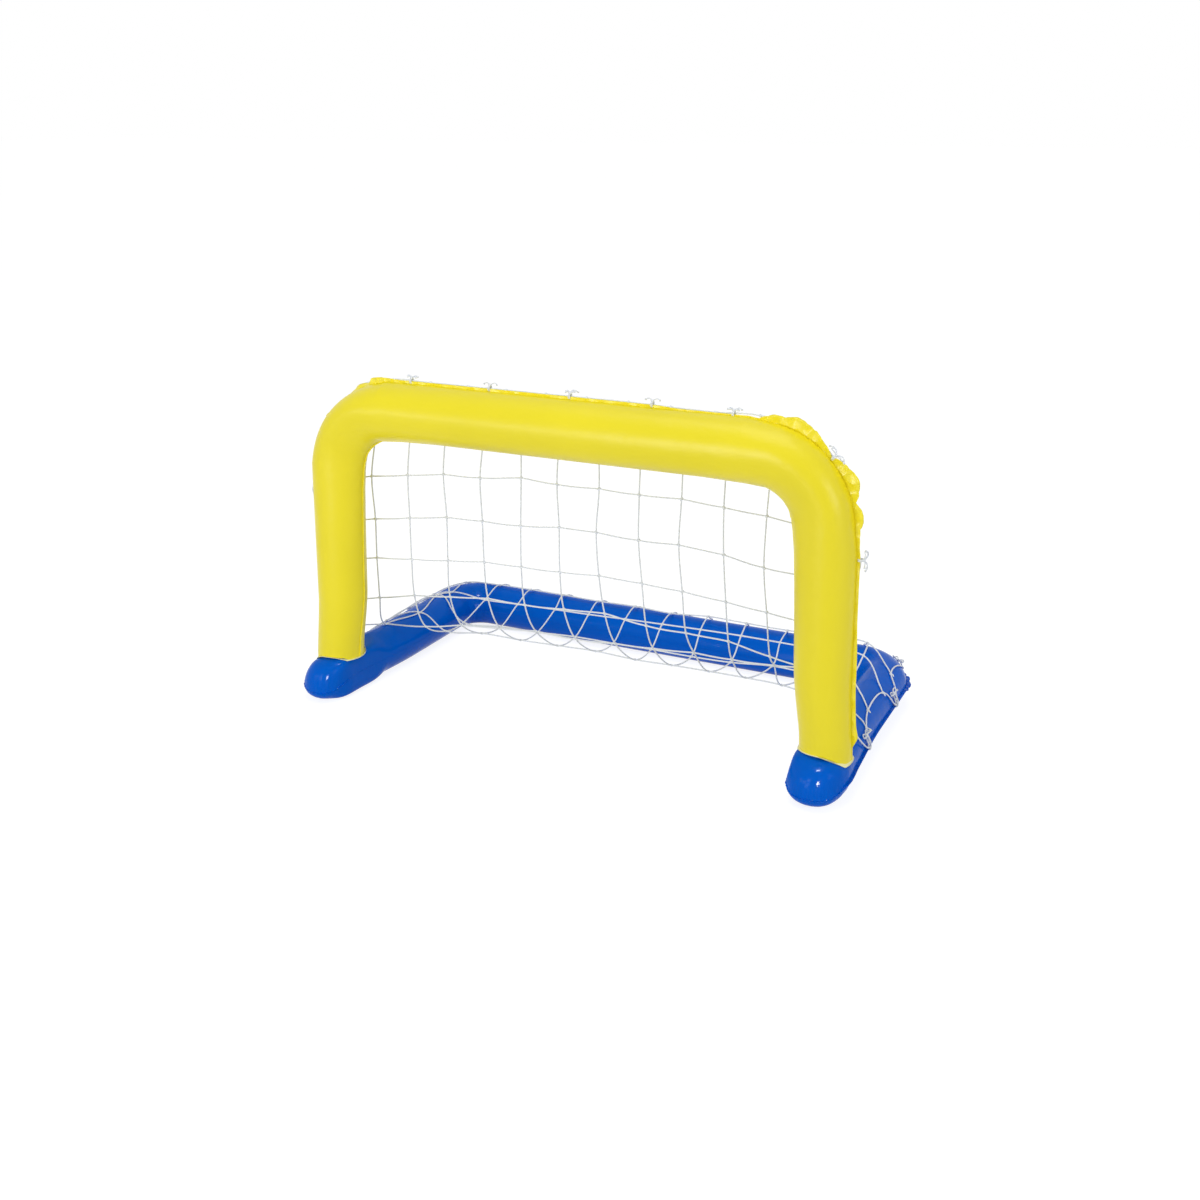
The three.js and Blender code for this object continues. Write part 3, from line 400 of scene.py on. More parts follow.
def curve_through(points, steps):
    """A smooth line through points, centripetal, with so many steps between two points"""
    ends = [points[0] * 2 - points[1], *points, points[-1] * 2 - points[-2]]
    line = [points[0].copy()]
    for i in range(len(points) - 1):
        p, t = ends[i:i + 4], [0.0]
        for a, b in zip(p, p[1:]):
            t.append(t[-1] + max((b - a).length, 1e-6) ** 0.5)
        for k in range(1, steps + 1):
            at = t[1] + (t[2] - t[1]) * k / steps
            a = [blend(p[j], p[j + 1], t[j], t[j + 1], at) for j in range(3)]
            b = [blend(a[j], a[j + 1], t[j], t[j + 2], at) for j in range(2)]
            line.append(blend(b[0], b[1], t[1], t[2], at))
    return line


def spread(line, share):
    """The point at a share of a line's length"""
    spans = [(b - a).length for a, b in zip(line, line[1:])]
    left = share * sum(spans)
    for i, span in enumerate(spans):
        if left <= span or i == len(spans) - 1:
            return line[i].lerp(line[i + 1], min(left / span, 1.0))
        left -= span


def table_at(table, at, lobed=False):
    """A value from a table of places and values: straight between them, or round lobes with tight dips"""
    for (a, low), (b, high) in zip(table, table[1:]):
        if a < at <= b:
            share = (at - a) / (b - a)
            if lobed:
                share = math.sin(share * math.pi / 2) if high > low else 1 - math.cos(share * math.pi / 2)
            return low + (high - low) * share
    return table[0][1] if at <= table[0][0] else table[-1][1]


def smooth(value, low, high):
    """0 at low, 1 at high, smooth between"""
    t = min(max((value - low) / (high - low), 0), 1)
    return t * t * (3 - 2 * t)


def uneven(at, seed):
    """A place moved a little along its line, and the size of the fold there"""
    at += 0.7 * noise.noise(Vector((at * 0.41, seed, 0)))
    return at, 0.65 + 0.5 * noise.noise(Vector((at * 0.6, seed + 5, 0)))


def fold(at, seed):
    """A folded line between -1 and 1, one uneven fold for each unit"""
    at, size = uneven(at, seed)
    return size * (4 * abs(at % 1.0 - 0.5) - 1)


def pillow(at, seed):
    """Round hills with sharp valleys between them, 0 to about 1"""
    at, size = uneven(at, seed)
    return size * (1 - (2 * (at % 1.0) - 1) ** 2)


# ------------------------------------------------------- where the tubes run

# Rim widths in metres against the angle round an arch corner, from the crossbar down, and past it
RIGHT_CORNER_RIM = [(-110, 0.007), (-85, 0.0035), (-9, 0.0035), (-1, 0.012), (4.5, 0.019), (9, 0.018), (18, 0.029),
                    (27, 0.023), (36, 0.014),
                    (44, 0.0055), (50, 0.017), (56, 0.024), (63, 0.031), (69, 0.021), (75, 0.009), (84, 0.020),
                    (92, 0.011), (100, 0.009), (108, 0.007)]
LEFT_CORNER_RIM = [(-20, 0.007), (-8, 0.009), (6, 0.0155), (11.5, 0.0062), (20, 0.0105), (25, 0.0060), (32, 0.0020),
                   (49, 0.0022), (57, 0.0130), (62, 0.0047), (75, 0.0052), (90, 0.0060), (100, 0.007)]

# How far the inner side of the arch swells past its round section, against the same angle and on down the post
INNER_SWELL = [(-60, 0), (-20, 0.003), (0, 0.007), (15, 0.013), (35, 0.019), (55, 0.023), (85, 0.024), (100, 0.018),
               (118, 0.0135), (150, 0.010), (190, 0.007), (240, 0.004), (290, 0)]


class Tubes:
    """Centre lines, radii and rims of the arch and the base, measured from their middles"""

    def __init__(self):
        s = self.sizes = bpy.context.scene.goal_sizes
        self.axis_x = POST_FOOT.x
        self.y = POST_FOOT.y
        self.base_z = s.base_radius - 0.002
        self.arch_arc_x = self.axis_x - s.arch_corner
        self.arch_arc_z = s.crossbar_height - s.arch_corner
        self.base_arc_x = self.axis_x - s.base_corner
        self.base_arc_y = s.base_depth - s.base_corner
        self.arch_turn = s.arch_corner * math.pi / 2
        self.base_turn = s.base_corner * math.pi / 2
        self.foot_z = self.base_z + 0.021
        self.arch_end = self.arch_arc_x + self.arch_turn + self.arch_arc_z - self.foot_z
        self.arm_end = self.base_arc_x + self.base_turn + self.base_arc_y + s.toe_reach
        self.base_end = self.arm_end + s.base_radius * math.pi / 2
        self._axes = None

    def arch(self, at):
        """Centre, outward direction, radius, corner angle in degrees (or None)"""
        s, side, run = self.sizes, math.copysign(1, at), abs(at)
        angle = (run - self.arch_arc_x) / s.arch_corner
        degrees = math.degrees(angle)
        if angle <= 0:
            return Vector((at, self.y, s.crossbar_height)), Z.copy(), s.crossbar_radius, degrees
        if angle < math.pi / 2:
            t = angle / (math.pi / 2)
            radius = s.crossbar_radius + (s.post_radius - s.crossbar_radius) * t * t * (3 - 2 * t)
            out = Vector((side * math.sin(angle), 0, math.cos(angle)))
            centre = Vector((side * (self.arch_arc_x + s.arch_corner * math.sin(angle)), self.y,
                             self.arch_arc_z + s.arch_corner * math.cos(angle)))
            return centre, out, radius, degrees
        z = self.arch_arc_z - (run - self.arch_arc_x - self.arch_turn)
        low, high = s.crossbar_height * 0.2, s.crossbar_height * 0.37
        radius = s.foot_radius + (s.post_radius - s.foot_radius) * min(max((z - low) / (high - low), 0), 1)
        return Vector((side * self.axis_x, self.y, z)), Vector((side, 0, 0)), radius, degrees

    def base(self, at):
        """Centre, outward direction, radius, corner angle, and the ways of the outer and the inner rim"""
        s, side, run = self.sizes, math.copysign(1, at), abs(at)
        angle = (run - self.base_arc_x) / s.base_corner
        degrees = math.degrees(angle)
        if angle <= 0:
            return Vector((at, self.y + s.base_depth, self.base_z)), Y.copy(), s.base_radius, degrees, Y, -Y
        if angle < math.pi / 2:
            out = Vector((side * math.sin(angle), math.cos(angle), 0))
            centre = Vector((side * (self.base_arc_x + s.base_corner * math.sin(angle)),
                             self.y + self.base_arc_y + s.base_corner * math.cos(angle), self.base_z))
            return centre, out, s.base_radius, degrees, out, -out
        out = Vector((side, 0, 0))
        if run <= self.arm_end:
            y = self.base_arc_y - (run - self.base_arc_x - self.base_turn)
            return Vector((side * self.axis_x, self.y + y, self.base_z)), out, s.base_radius, degrees, out, -out
        turn = min((run - self.arm_end) / s.base_radius, math.pi / 2)
        centre = Vector((side * self.axis_x, self.y - s.toe_reach - s.base_radius * math.sin(turn), self.base_z))
        ahead = Vector((0, -math.sin(turn), 0))
        return (centre, out, s.base_radius * math.cos(turn), degrees, out * math.cos(turn) + ahead,
                -out * math.cos(turn) + ahead)

    def dip(self, degrees, side):
        """How far the outer seam of an arch corner draws in"""
        deep, centre, half = (1, 48, 66) if side > 0 else (1.375, 42, 50)
        return self.sizes.corner_dip * deep * max(1 - ((degrees - centre) / half) ** 2, 0)

    def widened(self, x, y, outer):
        """How much wider an arm gets towards its toe"""
        share = 0.05 if outer else 0.07 if x > 0 else -0.12
        return 1 + share * smooth(self.y - y, -0.34 if share < 0 else -0.05, 0.03)

    def pressed(self, y):
        """1 where a post stands on the arm, 0 away from it"""
        ahead = self.y - y
        return 1 - smooth(ahead, 0.030, 0.080) if ahead > 0 else 1 - smooth(-ahead, 0.045, 0.130)

    def moulded(self, c, h, press):
        """Makes the arm's round section squarer, flatter and tilted under a post. c is above 0 on the outer side"""
        if h < 0:
            return c, h
        power = 2 + press * (0.7 if c > 0 else 3.2)
        swell = (abs(c) ** power + abs(h) ** power) ** (-1 / power)
        flat = 1 - press * (0.165 - 0.075 * max(-c, 0) ** 2)
        return c * swell, h * swell * flat - press * 0.09 * c * swell * max(h, 0) ** 0.5

    def seat(self, x, y):
        """Height of a post's foot over the arm, rounded up at the outer seam"""
        s, press = self.sizes, self.pressed(y)
        offset = abs(x) - self.axis_x
        offset /= s.base_radius * self.widened(x, y, offset > 0)
        beside = min(max(offset, -0.93), 0.87)
        power = 2 + press * (0.7 if beside > 0 else 3.2)
        above = (1 - min(abs(beside), 0.999) ** power) ** (1 / power)
        swell = math.hypot(beside, above)
        rounded = 1.6 * max(offset - 0.80, 0) ** 2
        return self.base_z + s.base_radius * (self.moulded(beside / swell, above / swell, press)[1] + rounded)

    def narrowed(self, x):
        """How much narrower the crossbar's rim is at a place before the right corner"""
        degrees = math.degrees((x - self.arch_arc_x) / self.sizes.arch_corner)
        return max(self.sizes.rim - table_at(RIGHT_CORNER_RIM, degrees, True), 0) if -110 < degrees < 0 else 0.0

    def splayed(self, p):
        """Leans a point near a toe or a post's foot outwards"""
        share = (1 - smooth(p.y - self.y, -0.03, 0.26)) * (1 - smooth(p.z, 0.09, 0.28))
        out = self.sizes.splay * share * (1.3 if p.x < 0 else 1)
        turned = self.sizes.toe_turn * smooth(self.y - p.y, 0.02, 0.07) * (1 - smooth(p.z, 0.045, 0.10))
        return Vector((p.x + math.copysign(out, p.x) - turned, p.y, p.z))

    def axes(self):
        if not self._axes:
            found = []
            for line, end in ((self.arch, self.arch_end), (self.base, self.arm_end)):
                stops = [line(-end + 2 * end * i / 90) for i in range(91)]
                found += [(a[0], b[0], a[2], a[1] if end == self.arch_end else None, a[3])
                          for a, b in zip(stops, stops[1:])]
            self._axes = found
        return self._axes

    def laid(self, point, clearance):
        """A point moved out of the tubes, onto their surface"""
        for a, b, radius, out, degrees in self.axes():
            span = b - a
            share = min(max((point - a).dot(span) / span.length_squared, 0), 1)
            away = point - (a + span * share)
            reach = radius + clearance
            if away.length > reach + 0.03:
                continue
            if out:
                c = away.normalized().dot(out)
                reach += table_at(INNER_SWELL, degrees) * c ** 4 if c < 0 else -self.dip(degrees, a.x) * c * c
            if away.length < reach:
                point = a + span * share + away.normalized() * reach
        return point


def stops(end, arcs, fine, coarse):
    """Places along half a tube: fine where it bends, coarse where it is straight"""
    at, found = 0.0, [0.0]
    while at < end - 1e-6:
        close = any(low - 0.03 < at < high + 0.03 for low, high in arcs)
        at = min(at + (fine if close else coarse), end)
        found.append(at)
    return [-x for x in reversed(found[1:])] + found


ARC_STEPS, RIM_STEPS, INNER_STEPS = 44, 6, 2


def sheet_rows(line, places, bulge, wave_way, rim_of, pleat_of, wall, mould):
    """Rows of points of one sheet: outer rim, half round, inner rim"""
    rows = []
    lift = bulge * (0.00008 + wall)
    for at in places:
        centre, out, radius, degrees, *ways = line(at)
        outer_way, inner_way = ways or (out, -out)
        outer, inner, wave = rim_of(at, degrees)
        outer_foot = centre + out * (radius * mould(at, degrees, 1, 0)[0])
        inner_foot = centre + out * (radius * mould(at, degrees, -1, 0)[0])
        row = []
        for k in range(RIM_STEPS):
            share = 1 - k / RIM_STEPS
            row.append(outer_foot + outer_way * (outer * share) + lift + wave_way * (wave * share ** 1.3))
        for k in range(ARC_STEPS + 1):
            angle = math.pi * k / ARC_STEPS
            angle -= 0.25 * math.sin(2 * angle)
            c, h = mould(at, degrees, math.cos(angle), math.sin(angle))
            reach = radius + pleat_of(at, degrees, radius * min(angle, math.pi - angle), angle < math.pi / 2)
            row.append(centre + out * (reach * c) + bulge * max(reach * h, 0.00008 + wall))
        for k in range(1, INNER_STEPS + 1):
            row.append(inner_foot + inner_way * (inner * k / INNER_STEPS) + lift)
        rows.append(row)
    return rows


def sheet_mesh(rows, places):
    """One sheet of a tube, with U along it in metres and V across it"""
    bm = bmesh.new()
    seam_two = RIM_STEPS + ARC_STEPS

    def uv_of(i, k):
        if k < RIM_STEPS:
            return places[i], 0.08 * k / RIM_STEPS
        if k <= seam_two:
            return places[i], 0.08 + 0.84 * (k - RIM_STEPS) / ARC_STEPS
        return places[i], 0.92 + 0.08 * (k - seam_two) / INNER_STEPS

    lofted(bm, rows, uv_of)
    bmesh.ops.remove_doubles(bm, verts=bm.verts, dist=1e-6)
    return bm


def valve_hole(bm, centre, way, radius):
    """Opens a round hole for a valve in a sheet"""
    def reach(point):
        away = point - centre
        return (away - way * away.dot(way)).length

    def close(point):
        return (point - centre).dot(way) > 0 and reach(point) < radius * 2.2

    for _ in range(2):
        near = [e for e in bm.edges if close((e.verts[0].co + e.verts[1].co) / 2)]
        bmesh.ops.subdivide_edges(bm, edges=near, cuts=1, use_grid_fill=True)
    gone = [f for f in bm.faces if close(f.calc_center_median()) and reach(f.calc_center_median()) < radius]
    bmesh.ops.delete(bm, geom=gone, context="FACES")
    for v in bm.verts:
        if close(v.co) and v.is_boundary:
            away = v.co - centre
            flat = away - way * away.dot(way)
            v.co = v.co - flat + flat.normalized() * radius


def facing_out(bm, centre_of):
    """Turns a sheet's faces outwards"""
    votes = 0
    for f in list(bm.faces)[:: max(1, len(bm.faces) // 400)]:
        p = f.calc_center_median()
        votes += 1 if f.normal.dot(p - centre_of(p)) > 0 else -1
    if votes < 0:
        bmesh.ops.reverse_faces(bm, faces=bm.faces)


# ----------------------------------------------------------------- operators


class GOAL_OT_arch(bpy.types.Operator):
    """Builds the yellow arch from its two welded sheets"""

    bl_idname = "goal.arch"
    bl_label = "Arch"

    def execute(self, context):
        tubes = Tubes()
        s = tubes.sizes
        corner = (tubes.arch_arc_x - 0.02, tubes.arch_arc_x + tubes.arch_turn + 0.02)
        foot = (tubes.arch_end - 0.06, tubes.arch_end)
        places = stops(tubes.arch_end, [corner, foot], 0.0016, 0.009)

        def rim_of(at, degrees):
            outer = table_at(RIGHT_CORNER_RIM if at > 0 else LEFT_CORNER_RIM, degrees, True)
            extra = max(outer - s.rim, 0)
            loose = min(extra / 0.014, 1)
            wave = loose * (0.0042 * fold(at / 0.021, 1.5) + 0.0011 * fold(at / 0.0083, 4.0))
            outer += extra * 0.04 * fold(at / 0.0105, 7.0)
            if at < 0:
                wave += math.sqrt(max(0.014 ** 2 - outer ** 2, 0)) * smooth(degrees, -5, 15) * smooth(degrees, 98, 75)
            z = tubes.arch(at)[0].z
            outer += 0.003 * (1 - smooth(z, 0.30, 0.42))
            if z < 0.175:
                outer += 0.003 * smooth(z, 0.175, 0.140)
                outer -= (outer - 0.001) * smooth(z, 0.136, 0.108)
            return outer, 0.003, wave + 0.0005 * noise.noise(Vector((at * 30, 7.0, 0)))

        def pleat_of(at, degrees, away, outside):
            bent = max(1 - abs(degrees - 45) / 66, 0) ** 0.7
            reach, strength = (0.013, 0.0004 + 0.0022 * bent) if outside else (0.007, 0.0003 + 0.0008 * bent)
            return strength * (pillow(at / 0.0115, 2.0) - 0.6) * math.exp(-away / reach)

        def mould(at, degrees, c, h):
            _, _, radius, _ = tubes.arch(at)
            drawn = 1 - tubes.dip(degrees, at) / radius * max(c, 0) ** 2
            swell = 1 + table_at(INNER_SWELL, degrees) / radius * max(-c, 0) ** 2
            return c * drawn * swell, h * drawn

        top = 0.175
        for name, bulge in (("arch_front", -Y), ("arch_back", Y)):
            rows = sheet_rows(tubes.arch, places, bulge, Y, rim_of, pleat_of, s.sheet, mould)
            for row in rows:
                for p in row:
                    if p.z < top:
                        seat = tubes.seat(p.x, p.y) + 0.0009
                        p.z = seat + max((p.z - tubes.foot_z) / (top - tubes.foot_z), 0) * (top - seat)
            bm = sheet_mesh(rows, places)
            if bulge == Y:
                valve_hole(bm, Vector((tubes.axis_x, tubes.y, middle("arch_valve_seat").z)), Y, 0.0093)
            bm.normal_update()
            facing_out(bm, lambda p, t=tubes: Vector((p.x, t.y, p.z)))
            walled(finished(bm, name + "_vinyl", "yellow_vinyl", [name + "_sheet"], leaning=tubes.splayed, faced=True),
                   s.sheet)
        return {"FINISHED"}


class GOAL_OT_base(bpy.types.Operator):
    """Builds the blue base from its two welded sheets"""

    bl_idname = "goal.base"
    bl_label = "Base"

    def execute(self, context):
        tubes = Tubes()
        s = tubes.sizes
        corner = (tubes.base_arc_x, tubes.base_arc_x + tubes.base_turn)
        front = (tubes.arm_end - tubes.sizes.toe_reach - 0.08, tubes.base_end)
        places = stops(tubes.base_end, [corner, front], 0.0018, 0.009)
        nose_y = tubes.y - s.toe_reach

        def rim_of(at, degrees):
            bend = max(1 - abs(degrees - 45) / 55, 0) ** 0.5
            bend *= 1 - math.exp(-((degrees - 45) / 5) ** 2)
            outer = s.rim + bend * (0.001 + 0.010 * pillow(at / 0.021, 3.0))
            wave = (bend * 0.0022 + 0.0004) * fold(at / 0.015, 6.0)
            toe = smooth(abs(at), tubes.arm_end - 0.02, tubes.arm_end + 0.03)
            outer += toe * (0.0015 - outer + 0.0006 * pillow(at / 0.006, 8.0))
            return outer, 0.0003 + toe * (outer - 0.0003), wave * (1 - toe)

        def pleat_of(at, degrees, away, outside):
            bend = max(1 - abs(degrees - 45) / 60, 0)
            strength = 0.0004 + 0.0022 * bend
            return strength * (pillow(at / 0.0120, 5.0) - 0.6) * math.exp(-away / 0.014)

        def mould(at, degrees, c, h):
            y, on_arm = tubes.base(at)[0].y, abs(at) > tubes.base_arc_x + tubes.base_turn
            wide = tubes.widened(at, y, c > 0) if on_arm else 1
            c, h = tubes.moulded(c, h, tubes.pressed(y) if on_arm else 0)
            return c * wide, h

        def nosed(p):
            """Runs the seam down towards the nose of a toe, and gathers the sheet round it"""
            side = math.copysign(1, p.x)
            ahead = nose_y - p.y
            low = smooth(ahead, -0.03, s.base_radius)
            if low <= 0 or abs(abs(p.x) - tubes.axis_x) > s.base_radius * 1.5:
                return
            h = (p.z - tubes.base_z) / s.base_radius
            seam = tubes.base_z - s.toe_drop * low
            if h > 0:
                p.z -= s.toe_drop * low * (1 - smooth(h, 0.0, 0.8))
                p.z -= 0.24 * h * s.base_radius * smooth(ahead, -0.02, 0.05)
            else:
                p.z *= seam / tubes.base_z
            flat = Vector((p.x - side * tubes.axis_x, p.y - nose_y, 0))
            if ahead > -0.01 and flat.length > 0.01:
                turn = math.atan2(flat.x, -flat.y)
                gather = smooth(ahead, -0.01, 0.02) * math.exp(-abs(p.z - seam) / 0.024)
                gather *= smooth(flat.length, 0.01, 0.04)
                p += flat.normalized() * (0.0019 * (pillow(turn * 7.5, 4.0 + side) - 0.75) * gather)

        for name, bulge in (("base_top", Z), ("base_bottom", -Z)):
            rows = sheet_rows(tubes.base, places, bulge, Z, rim_of, pleat_of, s.sheet, mould)
            for row in rows:
                for p in row:
                    nosed(p)
                    p.z = max(p.z, 0.0)
            bm = sheet_mesh(rows, places)
            if bulge == Z:
                slant = Vector((0, 1, 1)).normalized()
                spot = middle("base_valve_seat")
                valve_hole(bm, Vector((spot.x, tubes.y + s.base_depth, tubes.base_z)), slant, 0.0093)
            bm.normal_update()
            facing_out(bm, lambda p, t=tubes: Vector((p.x, p.y, t.base_z)))
            walled(finished(bm, name + "_vinyl", "blue_vinyl", [name + "_sheet"], leaning=tubes.splayed, faced=True),
                   s.sheet)
        return {"FINISHED"}


class GOAL_OT_patches(bpy.types.Operator):
    """Builds the pale welded edge where each post stands on its arm"""

    bl_idname = "goal.patches"
    bl_label = "Post ends"

    def execute(self, context):
        tubes = Tubes()
        s = tubes.sizes
        for word, side in SIDES.items():
            bm = fresh()
            bmesh.ops.create_circle(bm, cap_ends=True, segments=128, radius=s.foot_radius + 0.0036)
            for step in (0.0006, 0.0014, 0.0018, 0.004, 0.008, 0.012, 0.012):
                face = max(bm.faces, key=lambda f: len(f.verts))
                bmesh.ops.inset_region(bm, faces=[face], thickness=step, use_even_offset=True)
            for v in bm.verts:
                v.co.x += side * tubes.axis_x
                v.co.y += tubes.y
                v.co.z = tubes.seat(v.co.x, v.co.y) + 0.0014
                for loop in v.link_loops:
                    loop[own_map(bm)].uv = (v.co.x, 0.5)
            walled(finished(bm, word + "_post_end", "pale_yellow_vinyl", [word + "_post_end_patch"],
                            leaning=tubes.splayed), 0.0012)
        return {"FINISHED"}


NET_COLUMNS, NET_ROWS = 12, 12
PROFILE = [(0.112, 0.783), (0.112, 0.636), (0.118, 0.492), (0.183, 0.355), (0.288, 0.227), (0.490, 0.132),
           (0.665, 0.115), (0.810, 0.140)]
EDGE_POST = (0.725, 0.582, 0.447, 0.300, 0.205)
EDGE_ARM = ((34, 0.29), (52, 0.40), (48, 0.60), (58, 0.78))
# How far the knots of a row hang to the right and up from their even places, in millimetres, at five places from
# the left post to the right one
DRAPE = {
    2: ((-4, 0, 3, 6, 2), (-4, 4, 10, 1, -14)),
    3: ((-8, 0, 7, 13, 4), (-9, 9, 22, 2, -36)),
    4: ((0, 6, 11, 15, 12), (-13, 17, 20, 2, -50)),
    5: ((-5, 9, 20, 28, 22), (-8, 20, 22, 4, -50)),
    6: ((-30, -2, 12, 31, 30), (-28, 10, 14, -6, -70)),
    7: ((-50, -6, 20, 24, 12), (-55, 5, 8, 22, 24)),
    8: ((-40, 10, 36, 36, -10), (-30, 0, 4, 10, -20)),
    9: ((-45, 5, 44, 58, 60), (-20, 5, 14, 32, 40)),
    10: ((-25, 6, 29, 52, 66), (0, 12, 28, 40, 44)),
    11: ((-22, -10, 10, 37, 50), (-5, 7, 6, 12, 14)),
}
CROSSBAR_TIES = (-0.64, -0.3, 0.03, 0.35, 0.65)
REAR_TIES = (-0.62, -0.33, -0.03, 0.27, 0.56)
ARM_TIES = (0.24, 0.67)


class Net:
    """Knots and cords of the net, in the same places as the CAD's"""

    def __init__(self, tubes):
        self.tubes = tubes
        s = tubes.sizes
        self.behind = 0.0032
        self.outside = s.rim + 0.00015
        self.lay = s.net_cord / 2 + 0.0012
        lay_bar, lay_base = s.crossbar_radius + 0.004, s.base_radius + 0.004
        half = math.sqrt(0.5)
        points = [(self.behind, s.crossbar_height + s.crossbar_radius + self.outside),
                  (lay_bar * half, s.crossbar_height + lay_bar * half), (lay_bar, s.crossbar_height)]
        points += [(s.base_depth * d, s.crossbar_height * h) for d, h in PROFILE]
        points += [(s.base_depth, tubes.base_z + lay_base),
                   (s.base_depth + lay_base * half, tubes.base_z + lay_base * half),
                   (s.base_depth + s.base_radius + self.outside, tubes.base_z + self.behind)]
        self.fall = curve_through([Vector((0, y + tubes.y, z)) for y, z in points], 16)
        self.fall_length = sum((b - a).length for a, b in zip(self.fall, self.fall[1:]))
        self.pitch = 2 * tubes.axis_x * 0.0813

    def share(self, row):
        return 0.0 if row == 0 else 0.044 + (row - 1) * (1 - 0.044) / (NET_ROWS - 1)

    def inner(self, column, row):
        t, s = self.tubes, self.tubes.sizes
        share = self.share(row)
        x = (column - (NET_COLUMNS + 1) / 2) * self.pitch + 0.009 - 0.050 * share
        tilted = share - 0.045 * (x / self.fall_length) * math.sin(math.pi * share)
        place = spread(self.fall, min(max(tilted, 0), 1))
        turn = []
        for arc_x, outer in ((t.arch_arc_x, s.arch_corner + s.post_radius + self.outside),
                             (t.base_arc_x, s.base_corner + s.base_radius + self.outside)):
            offset = max(abs(x) - arc_x, 0)
            turn.append(outer * (1 - math.sqrt(1 - min(offset / outer, 1) ** 2)))
        point = Vector((x, place.y - turn[1] * max(4 * share - 3, 0), place.z - turn[0] * max(1 - 4 * share, 0)))
        if row == 0 and abs(x) > t.arch_arc_x:
            angle = math.asin((abs(x) - t.arch_arc_x) / (s.arch_corner + s.post_radius))
            drawn = t.dip(math.degrees(angle), x)
            point -= Vector((math.copysign(math.sin(angle), x), 0, math.cos(angle))) * drawn
            point.y += 0.012 if x < 0 else 0
        if row == 0:
            point.z -= t.narrowed(x)
        if row in (0, NET_ROWS):
            return point
        stir = Vector((noise.noise(Vector((column * 1.7, row * 2.3, 0.5))), 0,
                       noise.noise(Vector((column * 2.1, row * 1.3, 8.5))))) * 0.008
        if row in DRAPE:
            spot = min(max((x / t.axis_x + 1) * 2, 0), 3.999)
            k, part = int(spot), spot % 1
            aside, rise = ((line[k] + (line[k + 1] - line[k]) * part) / 1000 for line in DRAPE[row])
            stir += X * aside + Z * rise
        return t.laid(point + stir, self.lay)

    def corner(self, kind, side):
        t, s = self.tubes, self.tubes.sizes
        if kind == "arch":
            run = side * (t.arch_arc_x + t.arch_turn / 2)
            centre, out, radius, degrees = t.arch(run)
            if side < 0:
                return centre + (out * 0.72 + Y * 0.69) * (radius + 0.007)
            return centre + out * (radius - t.dip(degrees, side) + self.outside) + Y * self.behind
        run = side * (t.base_arc_x + t.base_turn / 2)
        centre, out, radius, *_ = t.base(run)
        return centre + out * (radius + self.outside) + Z * self.behind

    def edge(self, side, row):
        t, s = self.tubes, self.tubes.sizes
        if row == 0:
            return self.corner("arch", side)
        if row == NET_ROWS:
            return self.corner("base", side)
        if row >= 8:
            degrees, depth = EDGE_ARM[row - 8]
            reach, angle = s.base_radius + self.lay, math.radians(degrees)
            return Vector((side * (t.axis_x + reach * math.cos(angle)), t.y + s.base_depth * depth,
                           t.base_z + reach * math.sin(angle)))
        if row >= 3:
            reach, angle = s.post_radius + self.lay, math.radians(50)
            return Vector((side * (t.axis_x + reach * math.cos(angle)), t.y + reach * math.sin(angle),
                           s.crossbar_height * EDGE_POST[row - 3]))
        point = self.edge(side, 0).lerp(self.edge(side, 3), row / 3)
        point.y = t.y + s.post_radius / 2
        return t.laid(point, self.lay)

    def knot(self, column, row):
        if column == 0:
            return self.edge(-1, row)
        if column == NET_COLUMNS + 1:
            return self.edge(1, row)
        return self.inner(column, row)

    def draped(self, points, steps, sag=0.0):
        """A cord through its knots, over the tubes"""
        line = curve_through(points, steps)
        drawn = []
        for i, p in enumerate(line):
            share = (i % steps) / steps
            p = p - Z * (sag * 4 * share * (1 - share))
            drawn.append(self.tubes.laid(p, self.lay))
        return drawn


def tie_places(tubes):
    """Name, point of the seam, way along it, way to the net's side and way out, for each tie"""
    s = tubes.sizes
    found = []
    for i, share in enumerate(CROSSBAR_TIES):
        x = tubes.axis_x * share
        point = Vector((x, tubes.y, s.crossbar_height + s.crossbar_radius - tubes.narrowed(x)))
        found.append((f"tie_crossbar_{i + 1}", point, X, Y, Z))
    for i, share in enumerate(REAR_TIES):
        point = Vector((tubes.axis_x * share, tubes.y + s.base_depth + s.base_radius, tubes.base_z))
        found.append((f"tie_rear_bar_{i + 1}", point, X, Z, Y))
    for word, side in SIDES.items():
        centre, out, radius, degrees = tubes.arch(side * (tubes.arch_arc_x + tubes.arch_turn / 2))
        if side < 0:
            out, back = (out * 0.72 + Y * 0.69).normalized(), (Y * 0.72 - out * 0.69).normalized()
            found.append((f"tie_{word}_arch_corner", centre + out * radius, back.cross(out), back, out))
        else:
            point = centre + out * (radius - tubes.dip(degrees, side))
            found.append((f"tie_{word}_arch_corner", point, Y.cross(out), Y, out))
        z = s.crossbar_height * 0.72
        found.append((f"tie_{word}_post", Vector((side * (tubes.axis_x + s.post_radius), tubes.y, z)), Z, Y, X * side))
        centre, out, radius, *_ = tubes.base(side * (tubes.base_arc_x + tubes.base_turn / 2))
        found.append((f"tie_{word}_base_corner", centre + out * radius, Z.cross(out), Z, out))
        for i, share in enumerate(ARM_TIES):
            point = Vector((side * (tubes.axis_x + s.base_radius), tubes.y + s.base_depth * share, tubes.base_z))
            found.append((f"tie_{word}_arm_{i + 1}", point, Y, Z, X * side))
    return found


